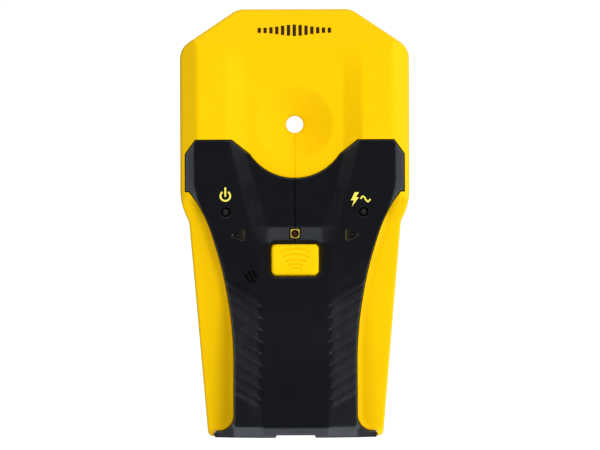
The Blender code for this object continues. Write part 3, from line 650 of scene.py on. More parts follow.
def printed_wrap(name):
    """Wrap of the battery: dark foil with a copper band at its upper end and a pale line between."""
    dark, bare = (0.012, 0.016, 0.03), (0.35, 0.34, 0.32)
    pale, copper = (0.6, 0.6, 0.58), (0.45, 0.17, 0.05)
    made = moulded(name, dark, 0.3, 0.5, grain=0.05, coat=0.4)
    tree = made.node_tree
    height = add(tree, "SeparateXYZ", Vector=coordinates(tree)).outputs["Z"]
    bands = add(tree, "MapRange", From_Max=0.06, Value=height)
    ramp = add(tree, "ValToRGB", Fac=bands)
    ramp.color_ramp.interpolation = "CONSTANT"
    stops = ramp.color_ramp.elements
    stops[0].position, stops[0].color = 0.0, scaled(bare)
    stops[1].position, stops[1].color = 0.1, scaled(dark)
    for position, tone in ((0.6, pale), (0.62, copper), (0.845, bare)):
        stops.new(position).color = scaled(tone)
    finish(made, Base_Color=ramp)
    return made


def circuit(name):
    """Solder mask with finer, lighter tracks showing through it."""
    made = moulded(name, (0.01, 0.09, 0.03), 0.35, 0.5, grain=0.05)
    tree = made.node_tree
    turned = add(tree, "Mapping", Rotation=(math.pi / 2, 0.0, 0.0), Vector=coordinates(tree))
    tracks = add(tree, "TexBrick", Scale=120.0, Mortar_Size=0.035, Color1=(0.008, 0.075, 0.026, 1.0),
                 Color2=(0.01, 0.09, 0.032, 1.0), Mortar=(0.03, 0.2, 0.07, 1.0), Vector=turned)
    finish(made, Base_Color=tracks)
    return made


def lens(name, tone):
    """Clear moulded LED body over its own tint."""
    made = moulded(name, tone, 0.12, 0.5, grain=0.02, spread=0.15, coat=0.6)
    finish(made, Coat_Roughness=0.05)
    return made


WARM_TINT, COOL_TINT = (1.0, 0.75, 0.1, 1.0), (0.85, 0.88, 1.0, 1.0)
YELLOW = moulded("yellow_moulding", (1.0, 0.588, 0.0012), 0.42, 0.3, WARM_TINT)
BUTTON_YELLOW = moulded("button_moulding", (1.0, 0.612, 0.0012), 0.36, 0.35, WARM_TINT)
BLACK = moulded("black_moulding", (0.0042, 0.0042, 0.005), 0.27, 0.5, COOL_TINT, 0.3, 0.12)
FRAME = moulded("frame_moulding", colour(186, 160, 62), 0.4, 0.4)
# painted highlight: a pale grey dot near each side window's tip that stands in for a glint the lamps
# don't give
GLINT_DOT = moulded("diode_ceramic", colour(150, 150, 146), 0.4, 0.4, grain=0.1)
PRINT = moulded("icon_ink", colour(252, 236, 92), 0.45, 0.3, grain=0.1)
DARK_PRINT = moulded("mark_ink", colour(60, 36, 6), 0.5, 0.12, grain=0.1)
STEEL = brushed("screw_steel", (0.56, 0.55, 0.53), 0.32)
COPPER = brushed("sensing_copper", (0.78, 0.38, 0.2), 0.35)
SMOKED = lens("smoked_lens", (0.02, 0.02, 0.022))
DARK_RED = lens("red_lens", (0.05, 0.006, 0.004))
BROWN = lens("brown_lens", (0.011, 0.008, 0.007))
CHIP = moulded("chip_epoxy", (0.014, 0.014, 0.015), 0.5, 0.4)
SLEEVE = moulded("capacitor_sleeve", (0.02, 0.03, 0.09), 0.3, 0.5, grain=0.1)
PLUNGER = moulded("plunger_nylon", (0.45, 0.43, 0.4), 0.45, 0.4)
NYLON = moulded("spacer_nylon", (0.62, 0.61, 0.57), 0.45, 0.4)
BLACK_WIRE = moulded("black_insulation", (0.012, 0.012, 0.012), 0.42, 0.4, grain=0.1)
RED_WIRE = moulded("red_insulation", (0.42, 0.015, 0.01), 0.42, 0.4, grain=0.1)
BOARD = circuit("solder_mask")
WRAP = printed_wrap("battery_print")


# ---- casing

ROUND_STEPS = (0.076, 0.293, 0.617, 1.0)      # how closely the curves follow a rounded edge
CASE_ROUND, BACK_ROUND, HOLE_ROUND = 1.1, 1.2, 0.5
LEG_FILLET, LEG_FILLET_Y, LEG_FILLET_SPAN = 2.2, 82.0, 8.0
SCREW_SKIN, BOSS_TOP_H = 3.0, 3.6
SCRIBE_HALF, SCRIBE_DEPTH, SCRIBE_REACH = 0.3, 0.32, 30.0
LABEL, LABEL_DEPTH = middle_box(26.0, 66.0, 96.0, 2.0), 0.35


def near(points, x, y, radius):
    """Mask of the places closer to one of the points than the radius."""
    found = np.zeros(np.shape(x), bool)
    for px, py in points:
        found |= np.hypot(x - px, y - py) < radius
    return found


def rings(outline, radius, outwards=False):
    """Outlines that follow a rounded edge of the given radius."""
    sign = 1.0 if outwards else -1.0
    return loops(*(grown(outline, sign * radius * step) for step in ROUND_STEPS))


def round_rings(x, y, radius, reach, steps=48):
    """Circles that follow a rounded edge from a radius on; a negative reach goes inwards."""
    return loops(*(circle(x, y, radius + reach * step, steps) for step in ROUND_STEPS))


def scribe_drop(x, y, low, high):
    """The centre line scratched into the front, between two heights."""
    within = (y > low) & (y < high)
    return np.where(within, SCRIBE_DEPTH * np.clip(1.0 - np.abs(x) / SCRIBE_HALF, 0, 1), 0.0)


def scribe_lines(low, high):
    return lines(*([(x, low), (x, high)] for x in (-SCRIBE_HALF, 0.0, SCRIBE_HALF)))


def yellow_top(x, y):
    head = soft_min(head_height(x, y), leg_height(y), LEG_SOFT)
    wall = distance_to(COVER_CUT, x, y)
    lift = smooth((LEG_FILLET_Y - y) / LEG_FILLET_SPAN) * edge_drop(wall, LEG_FILLET)
    height = head + lift - edge_drop(distance_to(CASE, x, y), CASE_ROUND)
    height -= edge_drop(np.abs(np.hypot(x, y - HOLE_Y) - HOLE_R), HOLE_ROUND)
    return height - scribe_drop(x, y, HOLE_Y - SCRIBE_REACH, HOLE_Y - HOLE_R)


def yellow_under(x, y):
    return np.minimum(head_height(x, y), leg_height(y)) - WALL


def front_shell():
    """Its layers: hollow, solid rim, tube of the marking hole, boss, pilot hole, groove."""
    tube_r, boss_r, pilot_r, groove_h = HOLE_R + 1.9, 3.0, 1.4, PARTING_H + TONGUE_RISE + 0.2
    curves = loops(CASE, GROOVE, CASE_INNER, COVER_CUT, COVER_KEEP, FOOT_CUT)
    curves += rings(CASE, CASE_ROUND) + rings(COVER_CUT, LEG_FILLET, True)
    curves += loops(circle(0, HOLE_Y, HOLE_R, 64)) + round_rings(0, HOLE_Y, HOLE_R, HOLE_ROUND, 64)
    curves += loops(circle(0, HOLE_Y, tube_r), circle(0, HOLE_Y, DISH_R, 96))
    curves += loops(*(circle(x, y, r, 24) for x, y in SCREW_POINTS for r in (pilot_r, boss_r)))
    curves += scribe_lines(HOLE_Y - 25.0, HOLE_Y - HOLE_R - HOLE_ROUND)
    curves += lines(*([(s * x, STEP_TOP_Y), (s * x, BAND_Y)]
                      for x in (VALLEY_X, RIDGE_X, OUTER_X) for s in (-1, 1)))
    curves += lines([(-HALF_WIDTH, BAND_Y), (HALF_WIDTH, BAND_Y)])

    def layer(x, y):
        radius = np.hypot(x, y - HOLE_Y)
        within = inside(CASE_INNER, x, y)
        number = np.where(within & ~inside(COVER_KEEP, x, y), 0, 1)
        number[inside(GROOVE, x, y) & ~within] = 5
        number[near(SCREW_POINTS, x, y, boss_r)] = 3
        number[near(SCREW_POINTS, x, y, pilot_r)] = 4
        number[radius < tube_r] = 2
        gone = inside(COVER_CUT, x, y) | inside(FOOT_CUT, x, y) | (radius < HOLE_R)
        number[gone | ~inside(CASE, x, y)] = -1
        return number

    under = (yellow_under, PARTING_H + GAP, WALL + GAP, BOSS_TOP_H + GAP,
             lambda x, y: yellow_top(x, y) - SCREW_SKIN, groove_h)
    mesh = layered_mesh(CASE, curves, [(low, yellow_top) for low in under], layer, 0.85)
    place("yellow_front", mesh, YELLOW, "yellow_plastic", "front_shell")


def back_face(x, y):
    """Flat sensing face with its rounded rim."""
    return edge_drop(distance_to(CASE, x, y), BACK_ROUND)


def rear_shell():
    """Its layers: floor, rim and rails, boss, screw seat, post, tongue, label panel."""
    bay = middle_box(DOOR_X + GAP, DOOR_Y0 - GAP, DOOR_Y1 + GAP, 1.2)
    rails = box_pair(DOOR_X + 1.05, 0.75, 6.2, 56.6)
    posts = [(s * 29.5, y) for s in (-1, 1) for y in (80.0, 128.0)]
    hole_r, sink_r, sink_h, boss_r, post_r, post_h = 1.5, 2.8, 1.5, 4.2, 1.6, 3.9
    curves = loops(CASE, TONGUE, CASE_INNER, bay, FOOT_CUT, FOOT_KEEP, LABEL, *rails)
    curves += rings(CASE, BACK_ROUND) + loops(circle(0, HOLE_Y, HOLE_R, 64))
    curves += loops(*(circle(x, y, r, 32) for x, y in SCREW_POINTS for r in (hole_r, sink_r, boss_r)))
    curves += loops(*(circle(x, y, post_r, 24) for x, y in posts))

    def layer(x, y):
        within, foot = inside(CASE_INNER, x, y), inside(FOOT_KEEP, x, y)
        number = np.zeros(np.shape(x), int)
        number[near(posts, x, y, post_r)] = 4
        number[inside(LABEL, x, y)] = 6
        number[~within | foot | inside(rails[0], x, y) | inside(rails[1], x, y)] = 1
        number[inside(TONGUE, x, y) & ~within & ~foot] = 5
        number[near(SCREW_POINTS, x, y, boss_r) & within] = 2
        number[near(SCREW_POINTS, x, y, sink_r)] = 3
        gone = ~inside(CASE, x, y) | inside(bay, x, y) | inside(FOOT_CUT, x, y)
        gone |= (np.hypot(x, y - HOLE_Y) < HOLE_R) | near(SCREW_POINTS, x, y, hole_r)
        number[gone] = -1
        return number

    layers = [(back_face, WALL), (back_face, PARTING_H), (back_face, BOSS_TOP_H), (sink_h, BOSS_TOP_H),
              (back_face, post_h), (back_face, PARTING_H + TONGUE_RISE), (LABEL_DEPTH, WALL)]
    mesh = layered_mesh(CASE, curves, layers, layer, 2.4)
    place("yellow_rear", mesh, YELLOW, "yellow_plastic", "rear_shell")


# ---- black cover

RIB_LEAN, RIB_PITCH, RIB_COUNT, RIB_DEPTH, RIB_RISER = 0.56, 4.22, 10, 0.38, 0.32
RIB_X, RIB_TOP_Y, RIB_END_Y, RIB_END_X = 11.6, 46.7, 10.6, 25.5
RIB_CURVE, RIB_END_SHARE, RIB_START, RIB_IN_SPAN, RIB_LOW_SPAN = 1.6, 0.6, 0.6, 2.6, 1.2
EDGE_ROUND, RIM_ROUND, LED_ROUND, WINDOW_ROUND = 0.4, 1.0, 0.3, 0.5
CHAMFER_Y, CHAMFER_SLOPE = 4.0, 0.84
FLANGE_CLEAR_H, INNER_RIB_H = 21.3, 20.9
BUTTON_MID_Y, FLANGE_SIDE, FLANGE_REACH_Y = 64.0, 2.0, 7.8
OPENING = middle_box(BUTTON_X + BUTTON_GAP, BUTTON_Y0 - BUTTON_GAP, BUTTON_Y1 + BUTTON_GAP,
                     BUTTON_R + BUTTON_GAP)


def triangle(side, base_x, tip_x, half, base_round, tip_round):
    """Rounded triangle that points outwards."""
    return rounded([(side * base_x, WINDOW_Y - half, base_round),
                    (side * base_x, WINDOW_Y + half, base_round), (side * tip_x, WINDOW_Y, tip_round)])


def window_plan(side):
    return triangle(side, WINDOW_BASE_X, WINDOW_APEX_X, WINDOW_HALF, 0.5, 0.6)


def grille_plans():
    """Three slanted sound slots, the middle one longest."""
    lean = Vector((0.53, -0.85))
    across = Vector((lean.y, -lean.x))
    width = across * 0.42
    slots = []
    for offset, half in ((-1.45, 1.7), (0.0, 2.4), (1.45, 1.7)):
        middle = Vector(GRILLE_AT) + across * offset
        one, two = middle + lean * half, middle - lean * half
        slots.append([tuple(corner) for corner in (one - width, one + width, two + width, two - width)])
    return slots


def rib_rise(x, y):
    """Slanted ribs of the grip: each climbs slowly downwards and ends at a sharp riser."""
    side = np.abs(x)
    first = RIB_TOP_Y - RIB_LEAN * RIB_X
    steps = (first - (y - RIB_LEAN * side)) / RIB_PITCH
    share = 1.0 - (steps - np.floor(steps))
    riser = RIB_RISER / RIB_PITCH
    falling = np.clip((1.0 - share) / (1.0 - riser), 0, 1) ** RIB_CURVE
    depth = np.where(share > riser, falling, share / riser)
    ends = smooth((steps + 1.0) / RIB_END_SHARE) * smooth((RIB_COUNT - 1.0 - steps) / RIB_END_SHARE)
    inner = smooth((side - RIB_X + RIB_START) / RIB_IN_SPAN)
    return RIB_DEPTH * (1.0 - depth) * ends * (inner * smooth((y - RIB_END_Y) / RIB_LOW_SPAN))


def cover_top(x, y):
    height = cover_base(x, y) + rib_rise(x, y)
    height -= CHAMFER_SLOPE * soft_max(CHAMFER_Y - y, 0.0, CHAMFER_SOFT)
    height -= edge_drop(distance_to(COVER, x, y), EDGE_ROUND)
    height -= edge_drop(distance_to(OPENING, x, y), RIM_ROUND)
    for led_x, led_y in (POWER_AT, AC_AT):
        height -= edge_drop(np.abs(np.hypot(x - led_x, y - led_y) - LED_HOLE_R), LED_ROUND)
    for side in (-1, 1):
        height -= edge_drop(distance_to(window_plan(side), x, y), WINDOW_ROUND)
    height -= scribe_drop(x, y, CENTRE_Y, COLLAR_Y) + scribe_drop(x, y, BUTTON_Y1, CENTRE_Y)
    return height


def cover_under(x, y):
    """One wall's thickness below the front, and clear of the button's flange."""
    under = cover_base(x, y) - WALL
    beside = (np.abs(x) < BUTTON_X + FLANGE_SIDE) & (np.abs(y - BUTTON_MID_Y) < FLANGE_REACH_Y)
    return np.where(beside, np.maximum(under, FLANGE_CLEAR_H), under)


def grip_cover():
    """Its layers: hollow, rim, inner ribs, foot."""
    square = BEZEL_HALF + 0.35
    holes = [OPENING, middle_box(square, CENTRE_Y - square, CENTRE_Y + square, 0.4),
             window_plan(-1), window_plan(1), *grille_plans()]
    holes += [circle(*at, LED_HOLE_R) for at in (POWER_AT, AC_AT)]
    ribs = box_pair(8.7, 0.7, 8.0, 48.0)
    curves = loops(COVER, COVER_INNER, *holes, *ribs)
    curves += rings(COVER, EDGE_ROUND) + rings(OPENING, RIM_ROUND, True)
    for at in (POWER_AT, AC_AT):
        curves += round_rings(*at, LED_HOLE_R, LED_ROUND)
    for side in (-1, 1):
        curves += rings(window_plan(side), WINDOW_ROUND, True)
    curves += lines(*([(-HALF_WIDTH, y), (HALF_WIDTH, y)] for y in (
        FOOT_T, CHAMFER_Y, WAIST[-1][1], HORN_END_Y, RAMP_TOP_Y, RAMP_LOW_Y)))
    curves += scribe_lines(BUTTON_Y1, COLLAR_Y)
    above = 108.0
    valley_ys = (DECK_Y, 62.0, 66.0, RAMP_LOW_Y, 73.0, RAMP_TOP_Y, 84.0, 94.0, above)
    creases = ((floor_x, valley_ys), (wall_x, valley_ys), (crest_x, (2.3, CREST_Y, HORN_END_Y, above)),
               (horn_edge, (HORN_END_Y, 84.0, 88.0, HORN_BEND_Y, above)))
    for s in (-1, 1):
        curves += lines(*(zip((s * edge(np.array(ys))).tolist(), ys) for edge, ys in creases))
        for number in range(RIB_COUNT):
            for rise in (0.0, RIB_RISER):
                y = RIB_TOP_Y - RIB_LEAN * RIB_X - number * RIB_PITCH + rise
                curves += lines([(s * e, y + RIB_LEAN * e) for e in (RIB_X - 0.7, RIB_END_X)])

    upper = stack((1, COVER), (0, COVER_INNER), (2, *ribs), (-1, *holes))

    def layer(x, y):
        number = upper(x, y)
        number[(number >= 0) & (y < FOOT_T)] = 3
        return number

    layers = [(low, cover_top) for low in (cover_under, PARTING_H + GAP, INNER_RIB_H, 0.0)]
    mesh = layered_mesh(COVER, curves, layers, layer, 0.55)
    place("black_cover", mesh, BLACK, "black_plastic", "grip_cover")


# ---- shared small shapes

def lathe(profile, x, y, steps=40):
    """Solid of revolution about the line of sight through x, y; profile lists (radius, height)."""
    turns = [2 * math.pi * k / steps for k in range(steps)]
    return lofted([[(x + radius * math.cos(t), h, y + radius * math.sin(t))
                    for t in (turns if radius > 0 else [0.0])] for radius, h in profile])


def print_on(name, shapes, surface, material):
    """Ink in the given plan shapes, lying on a surface."""
    xs, ys = zip(*(point for shape in shapes for point in shape))
    field = box_plan(min(xs) - 0.2, max(xs) + 0.2, min(ys) - 0.2, max(ys) + 0.2)
    span = (lambda x, y: surface(x, y) - 0.06, lambda x, y: surface(x, y) + 0.03)
    mesh = layered_mesh(field, loops(*shapes), [span], stack((0, *shapes)), 0.45)
    place(name, mesh, material, "yellow_plastic")


def stroke(points, width):
    """Closed outline of a line of even width."""
    one, two = [], []
    for k, point in enumerate(points):
        ahead = Vector(points[min(k + 1, len(points) - 1)]) - Vector(points[max(k - 1, 0)])
        across = Vector((-ahead.y, ahead.x)).normalized() * (width / 2)
        one.append(tuple(Vector(point) + across))
        two.append(tuple(Vector(point) - across))
    return one + two[::-1]


def node_box(node):
    """A CAD node's box in the plan frame: low and high of x, y and height."""
    low, high = (Vector(corner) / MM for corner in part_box(node))
    return (low.x, high.x), (low.z, high.z), (BACK_Y - high.y, BACK_Y - low.y)


# ---- button

ARCS = [(68.0, 5.5, 1.3), (66.0, 4.6, 1.0), (64.0, 3.7, 0.7), (62.4, 2.9, 0.7), (61.0, 2.4, 0.5)]
ARC_WIDTH, ARC_DEPTH = 0.36, 0.4


def arc_y(x, apex, half, fall):
    return apex - fall * (x / half) ** 2


def button():
    """Hollow cap with pressed arcs, on a flange that stays below the cover, and a stem."""
    side, lip, cap_round, flange_t, cap_t = 1.3, 1.2, 1.2, 1.2, 1.7
    cap = middle_box(BUTTON_X, BUTTON_Y0, BUTTON_Y1, BUTTON_R)
    hollow = middle_box(BUTTON_X - side, BUTTON_Y0 + side, BUTTON_Y1 - side, 0.8)
    flange = middle_box(BUTTON_X + lip, BUTTON_Y0 - lip, BUTTON_Y1, 0.8)
    stem = circle(0, BUTTON_MID_Y, 1.8)
    _, _, (stem_h, _) = node_box("button")
    flange_top = FLANGE_CLEAR_H - GAP

    def top(x, y):
        height = BUTTON_TOP_H - edge_drop(distance_to(cap, x, y), cap_round)
        for apex, half, fall in ARCS:
            away = np.abs(y - arc_y(x, apex, half, fall))
            groove = ARC_DEPTH * np.clip(1.0 - away / ARC_WIDTH, 0, 1)
            height = height - np.where(np.abs(x) < half, groove, 0.0)
        return height

    curves = loops(cap, hollow, flange, stem) + rings(cap, cap_round)
    for apex, half, fall in ARCS:
        xs = np.linspace(-half, half, 15).tolist()
        curves += lines(*([(x, arc_y(x, apex, half, fall) + shift) for x in xs]
                          for shift in (-ARC_WIDTH, 0.0, ARC_WIDTH)))
    low = flange_top - flange_t
    layers = [(stem_h, top), (BUTTON_TOP_H - cap_t, top), (low, top), (low, flange_top)]
    layer = stack((3, flange), (2, cap), (1, hollow), (0, stem))
    mesh = layered_mesh(flange, curves, layers, layer, 0.45)
    place("power_button", mesh, BUTTON_YELLOW, "yellow_plastic", "button", body="button")


# ---- indicators and print

MARK_Y = 146.4


def led(key, material):
    (x0, x1), (y0, y1), (base, top) = node_box(f"led_{key}")
    x, y, radius = (x0 + x1) / 2, (y0 + y1) / 2, (x1 - x0) / 2 - 0.25
    dome = [(radius * math.cos(t), top - radius + radius * math.sin(t))
            for t in (math.radians(a) for a in range(0, 90, 10))]
    foot = [(0, base), (radius + 0.2, base), (radius + 0.25, base + 0.1), (radius + 0.25, base + 0.6),
            (radius, base + 0.7)]
    place(f"lens_{key}", lathe(foot + dome + [(0, top)], x, y), material, "led_lens", f"led_{key}")


def bezel(key):
    """Light frame around a sensing LED: a slab with a dished seat for the lens."""
    (x0, x1), (y0, y1), (low, high) = node_box(f"bezel_{key}")
    (lx0, lx1), (ly0, ly1), _ = node_box(f"led_{key}")
    cx, cy, radius = (lx0 + lx1) / 2, (ly0 + ly1) / 2, (lx1 - lx0) / 2 + 0.1
    rim_round, seat_round = 0.3, 0.2
    outline, bore = box_plan(x0, x1, y0, y1, 0.6), circle(cx, cy, radius)

    def top(x, y):
        seat = edge_drop(np.abs(np.hypot(x - cx, y - cy) - radius), seat_round)
        return high - seat - edge_drop(distance_to(outline, x, y), rim_round)

    curves = loops(outline, bore) + rings(outline, rim_round)
    curves += round_rings(cx, cy, radius, seat_round)
    mesh = layered_mesh(outline, curves, [(low, top)], stack((0, outline), (-1, bore)), 0.6)
    place(f"frame_{key}", mesh, FRAME, "yellow_plastic", f"bezel_{key}")


def window_lens(side, key):
    """Smoked insert that fills the outer part of a side window, with a dome and a pale dot near its tip
    that paints a glint.
    """
    dome_x, glint_x = 20.6, 22.7
    _, _, (_, frame_h) = node_box(f"bezel_{key}")
    seat = frame_h + 0.6
    outline = triangle(side, 18.75, 24.4, 2.4, 0.4, 0.5)

    def top(x, y):
        dome = 0.5 - 0.45 * np.hypot(x - side * dome_x, y - WINDOW_Y) ** 2
        return seat + 0.5 + np.maximum(0.0, dome)

    curves = loops(outline, circle(side * dome_x, WINDOW_Y, 1.05))
    mesh = layered_mesh(outline, curves, [(seat, top)], stack((0, outline)), 0.3)
    place(f"insert_{key}", mesh, BROWN, "led_lens")
    low = seat + 0.4
    # pale bead near the window's tip: a painted glint
    bead = [(0, low), (0.32, low), (0.32, low + 0.25), (0.24, low + 0.36), (0, low + 0.4)]
    place(f"diode_{key}", lathe(bead, side * glint_x, WINDOW_Y, 16), GLINT_DOT, "led_lens")


def grille_cloth():
    """Dust cloth glued behind the sound slots."""
    outline = circle(*GRILLE_AT, 3.2)
    span = (lambda x, y: cover_under(x, y) - 0.35, lambda x, y: cover_under(x, y) - 0.05)
    mesh = layered_mesh(outline, loops(outline), [span], stack((0, outline)), 0.8)
    place("grille_cloth", mesh, CHIP, "chip_body")


def prints():
    """Power sign, mains sign and the generic mark at the top."""
    ring_x, ring_y, ring_r, width = -25.0, 86.9, 1.75, 0.62
    ring = stroke(arc(ring_x, ring_y, ring_r, 125, 415, 40), width)
    bar = stroke([(ring_x, 86.6), (ring_x, 90.0)], width)
    print_on("power_sign", [ring, bar], cover_top, PRINT)
    bolt = [(21.5, 88.1), (20.1, 85.2), (21.2, 85.2), (20.5, 83.0), (23.0, 86.3), (21.9, 86.3),
            (23.0, 88.1)]
    print_on("mains_bolt", [bolt], cover_top, PRINT)
    turns = [k / 24 for k in range(25)]
    wave = [(23.6 + 3.5 * t, 85.7 + 0.95 * math.sin(2 * math.pi * t)) for t in turns]
    print_on("mains_wave", [stroke(wave, 0.55)], cover_top, PRINT)
    pitch, bar_half, bars = 2.1, 0.62, []
    for k in range(-6, 7):
        x, half = pitch * k, 0.9 + 1.2 * math.exp(-(k / 3.2) ** 2)
        bars.append(box_plan(x - bar_half, x + bar_half, MARK_Y - half, MARK_Y + half, 0.3))
    print_on("top_mark", bars, yellow_top, DARK_PRINT)


# ---- rear pieces

def cross_plan(cx, cy, angle):
    """Outline of a cross recess."""
    reach, half = 1.35, 0.36
    corners = [(reach, half), (half, half), (half, reach), (-half, reach), (-half, half),
               (-reach, half), (-reach, -half), (-half, -half), (-half, -reach), (half, -reach),
               (half, -half), (reach, -half)]
    c, s = math.cos(angle), math.sin(angle)
    return [(cx + u * c - v * s, cy + u * s + v * c) for u, v in corners]


def screws():
    """Pan heads with a cross recess, each left at its own angle by the driver."""
    turns = random.Random(7)
    head_r, head_round, seat, recess_depth = 2.3, 0.55, 1.2, 0.75
    shank_r, tip_inset, tip_length = 1.1, 0.35, 0.8
    for number, (cx, cy) in enumerate(SCREW_POINTS, 1):
        _, _, (low, end) = node_box(f"case_screw_{number}")
        head = circle(cx, cy, head_r)
        recess = cross_plan(cx, cy, turns.uniform(0.0, math.pi / 2))

        def face(x, y):
            return low + edge_drop(head_r - np.hypot(x - cx, y - cy), head_round)

        def layer(x, y):
            radius = np.hypot(x - cx, y - cy)
            part = np.where(radius < shank_r, 1, 0)
            part[radius < shank_r - tip_inset] = 2
            part[inside(recess, x, y)] += 3
            part[radius > head_r] = -1
            return part

        layers = [(outer, inner) for outer in (face, low + recess_depth)
                  for inner in (seat, end - tip_length, end)]
        curves = loops(head, circle(cx, cy, shank_r), circle(cx, cy, shank_r - tip_inset), recess)
        curves += round_rings(cx, cy, head_r, -head_round)
        mesh = layered_mesh(head, curves, layers, layer, 0.4)
        place(f"screw_{number}", mesh, STEEL, "plated_steel", f"case_screw_{number}")


def battery_door():
    """Rear door: softened rim, ridged thumb recess, arrow groove, and two hooks at its upper edge."""
    rim_round, thumb_h, ridge_h, arrow_h = 0.45, 0.6, 0.2, 0.3
    outline = middle_box(DOOR_X, DOOR_Y0, DOOR_Y1, 1.0)
    hook_low, hook_top, hook_reach = WALL + 0.5, WALL + 1.5, 1.8
    hooks = box_pair(9.0, 2.0, DOOR_Y1 - 2.4, DOOR_Y1 + hook_reach)
    thumb = middle_box(6.0, DOOR_Y0 + 1.4, DOOR_Y0 + 6.4, 1.0)
    ridges = [middle_box(4.6, DOOR_Y0 + y - 0.25, DOOR_Y0 + y + 0.25) for y in (2.7, 3.9, 5.1)]
    chevron = stroke([(-3.2, 17.2), (0.0, 14.0), (3.2, 17.2)], 0.9)
    panel = stack((0, outline), (3, thumb), (4, *ridges), (5, chevron))

    def layer(x, y):
        number = panel(x, y)
        for hook in hooks:
            at_hook = inside(hook, x, y)
            number[at_hook] = np.where(number[at_hook] == 0, 1, 2)
        return number

    def rim(x, y):
        return edge_drop(distance_to(outline, x, y), rim_round)

    curves = loops(outline, thumb, *hooks, *ridges, chevron) + rings(outline, rim_round)
    layers = [(rim, DOOR_T), (rim, hook_top), (hook_low, hook_top), (thumb_h, DOOR_T),
              (ridge_h, DOOR_T), (arrow_h, DOOR_T)]
    field = middle_box(DOOR_X, DOOR_Y0, DOOR_Y1 + hook_reach)
    mesh = layered_mesh(field, curves, layers, layer, 1.6)
    place("bay_door", mesh, YELLOW, "yellow_plastic", "battery_door", body="battery_door")


def battery():
    """Block battery in a printed wrap, with rolled rims at both ends."""
    (x0, x1), (y0, y1), (h0, h1) = node_box("battery_case")
    section = box_plan(x0, x1, h0, h1, 2.4)
    rim = [(0.0, 1.0), (0.12, 0.45), (0.45, 0.1), (0.9, 0.0)]       # (from the end, inset)
    stations = [(y0 + depth, inset) for depth, inset in rim]
    stations += [(y1 - depth, inset) for depth, inset in reversed(rim)]
    sections = [[(x, h, y) for x, h in (grown(section, -inset) if inset else section)]
                for y, inset in stations]
    place("block_battery", lofted(sections, 50), WRAP, "battery_wrap", "battery_case")


# ---- finishes of the CAD pieces that stay

def finish_nodes():
    """Pieces whose CAD shape is right keep it and take a better material."""
    finishes = {
        BOARD: "main_pcb",
        COPPER: "electrode_left electrode_centre electrode_right",
        CHIP: "microcontroller sense_amplifier voltage_regulator switch_body buzzer",
        STEEL: "quartz_crystal battery_positive battery_negative snap_socket snap_stud",
        SLEEVE: "filter_capacitor",
        PLUNGER: "switch_plunger",
        BLACK: "snap_connector",
        BLACK_WIRE: "lead_black",
        RED_WIRE: "lead_red",
        NYLON: "spacer_power spacer_ac spacer_left spacer_centre spacer_right",
    }
    for material, names in finishes.items():
        for name in names.split():
            for material_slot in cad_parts[name].material_slots:
                material_slot.material = material


# ---- stage, light and camera

WHITE_LEVEL = 1.1                     # of the ground and sky, as the camera sees them
SKY_RING = (0.29, 0.15, 0.13, 2.2)    # |direction| along the view where the sides start, and levels
SKY_TOP = (0.55, 0.75, 0.0, 1.4)      # height where the top light starts, and levels
SKY_LEAN = 0.1                        # of the mirrored light towards the right
TENT, TENT_LEAN = 0.7, 0.7            # even light of the tent on matt surfaces, stronger on the right


def by_ray(tree, other, seen, output):
    """Shows one shader to the camera and another to all other rays; returns the rays' node."""
    path = add(tree, "LightPath")
    mix = add(tree, "MixShader")
    for socket, source in zip(mix.inputs, (path.outputs["Is Camera Ray"], other, seen)):
        feed(tree, socket, source)
    add(tree, output, Surface=mix)
    return path


def studio():
    """Ground that is white to the camera and isn't mirrored or seen by the tool's matt surfaces."""
    reach, low = 15.0, -0.0002
    floor = bpy.data.meshes.new("floor")
    corners = [(x * reach, y * reach, low) for x, y in ((-1, -1), (1, -1), (1, 1), (-1, 1))]
    floor.from_pydata(corners, [], [(0, 1, 2, 3)])
    plane = linked("floor", floor)
    paint, tree = new_material("floor_paint")
    tree.nodes.clear()
    matt = add(tree, "BsdfDiffuse", Color=(0.45, 0.45, 0.46, 1.0))
    glow = add(tree, "Emission", Strength=WHITE_LEVEL)
    by_ray(tree, matt, glow, "OutputMaterial")
    floor.materials.append(paint)
    plane.visible_diffuse = plane.visible_glossy = plane.visible_shadow = False


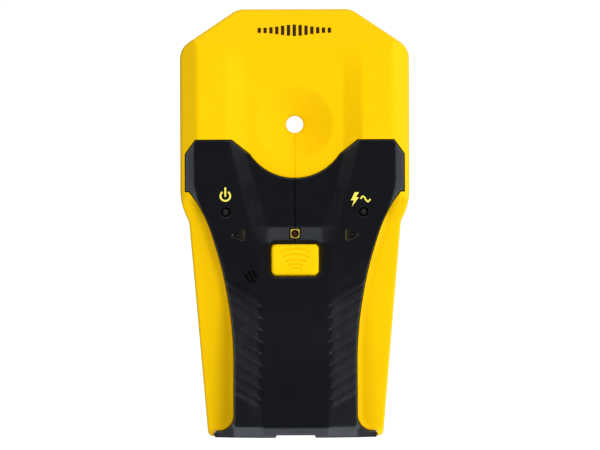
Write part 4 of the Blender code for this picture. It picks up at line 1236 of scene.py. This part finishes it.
def sky():
    """White to the camera; as light, a dim front and rear and a brighter ring around the sides."""
    world = bpy.data.worlds.new("studio")
    bpy.context.scene.world = world
    world.use_nodes = True
    tree = world.node_tree
    tree.nodes.clear()
    white = add(tree, "Background", Color=(1.0, 1.0, 1.0, 1.0), Strength=WHITE_LEVEL)
    light = add(tree, "Background", Color=(0.93, 0.97, 1.0, 1.0))
    path = by_ray(tree, light, white, "OutputWorld")
    ways = add(tree, "SeparateXYZ", Vector=add(tree, "TexCoord").outputs["Generated"]).outputs

    def maths(operation, one, two):
        node = add(tree, "Math", operation=operation)
        for socket, value in zip(node.inputs, (one, two)):
            feed(tree, socket, value)
        return node

    def step(value, start, end, low, high):
        return add(tree, "MapRange", interpolation_type="SMOOTHSTEP", From_Min=start, From_Max=end,
                   To_Min=low, To_Max=high, Value=value)

    def leaning(value, lean):
        """Stronger towards the right."""
        return maths("MULTIPLY", value, maths("ADD", maths("MULTIPLY", ways["X"], lean), 1.0))

    ring = step(maths("ABSOLUTE", ways["Y"], 0.0), *SKY_RING)
    gloss = leaning(maths("MAXIMUM", ring, step(ways["Z"], *SKY_TOP)), SKY_LEAN)
    even = leaning(TENT, TENT_LEAN)
    glossy = path.outputs["Is Glossy Ray"]
    total = maths("ADD", maths("MULTIPLY", gloss, glossy),
                  maths("MULTIPLY", even, maths("SUBTRACT", 1.0, glossy)))
    feed(tree, light.inputs["Strength"], total)


def lamp(name, at, size, power):
    """Square soft box that looks at the tool's middle and leaves no highlight."""
    data = bpy.data.lights.new(name, "AREA")
    data.shape = "RECTANGLE"
    data.size = data.size_y = size
    data.energy = power
    made = linked(name, data)
    made.location = at
    made.rotation_euler = (Vector((0.0, 0.0, 0.08)) - Vector(at)).to_track_quat("-Z", "Y").to_euler()
    made.visible_glossy = False


def camera():
    data = bpy.data.cameras.new("camera")
    distance, view_width, tilt = 4.0, 0.216, 0.2
    data.sensor_width = 36.0
    data.lens = data.sensor_width * distance / view_width
    made = linked("camera", data)
    made.location = (0.0018, -distance, 0.0764)
    made.rotation_euler = (math.pi / 2, math.radians(tilt), 0.0)
    bpy.context.scene.camera = made


camera()
studio()
sky()
lamp("key", (0.55, -1.4, 0.1), 0.5, 7.3)
lamp("fill", (-0.55, -1.4, 0.1), 0.5, 4.5)
lamp("rear", (0.7, 1.5, 0.6), 0.8, 9.0)
front_shell()
rear_shell()
grip_cover()
button()
for key, lens_material in (("power", SMOKED), ("ac", SMOKED), ("left", BROWN), ("right", BROWN),
                           ("centre", DARK_RED)):
    led(key, lens_material)
for key in ("left", "centre", "right"):
    bezel(key)
window_lens(-1, "left")
window_lens(1, "right")
grille_cloth()
prints()
screws()
battery_door()
battery()
finish_nodes()
bpy.context.scene.view_settings.view_transform = "Standard"
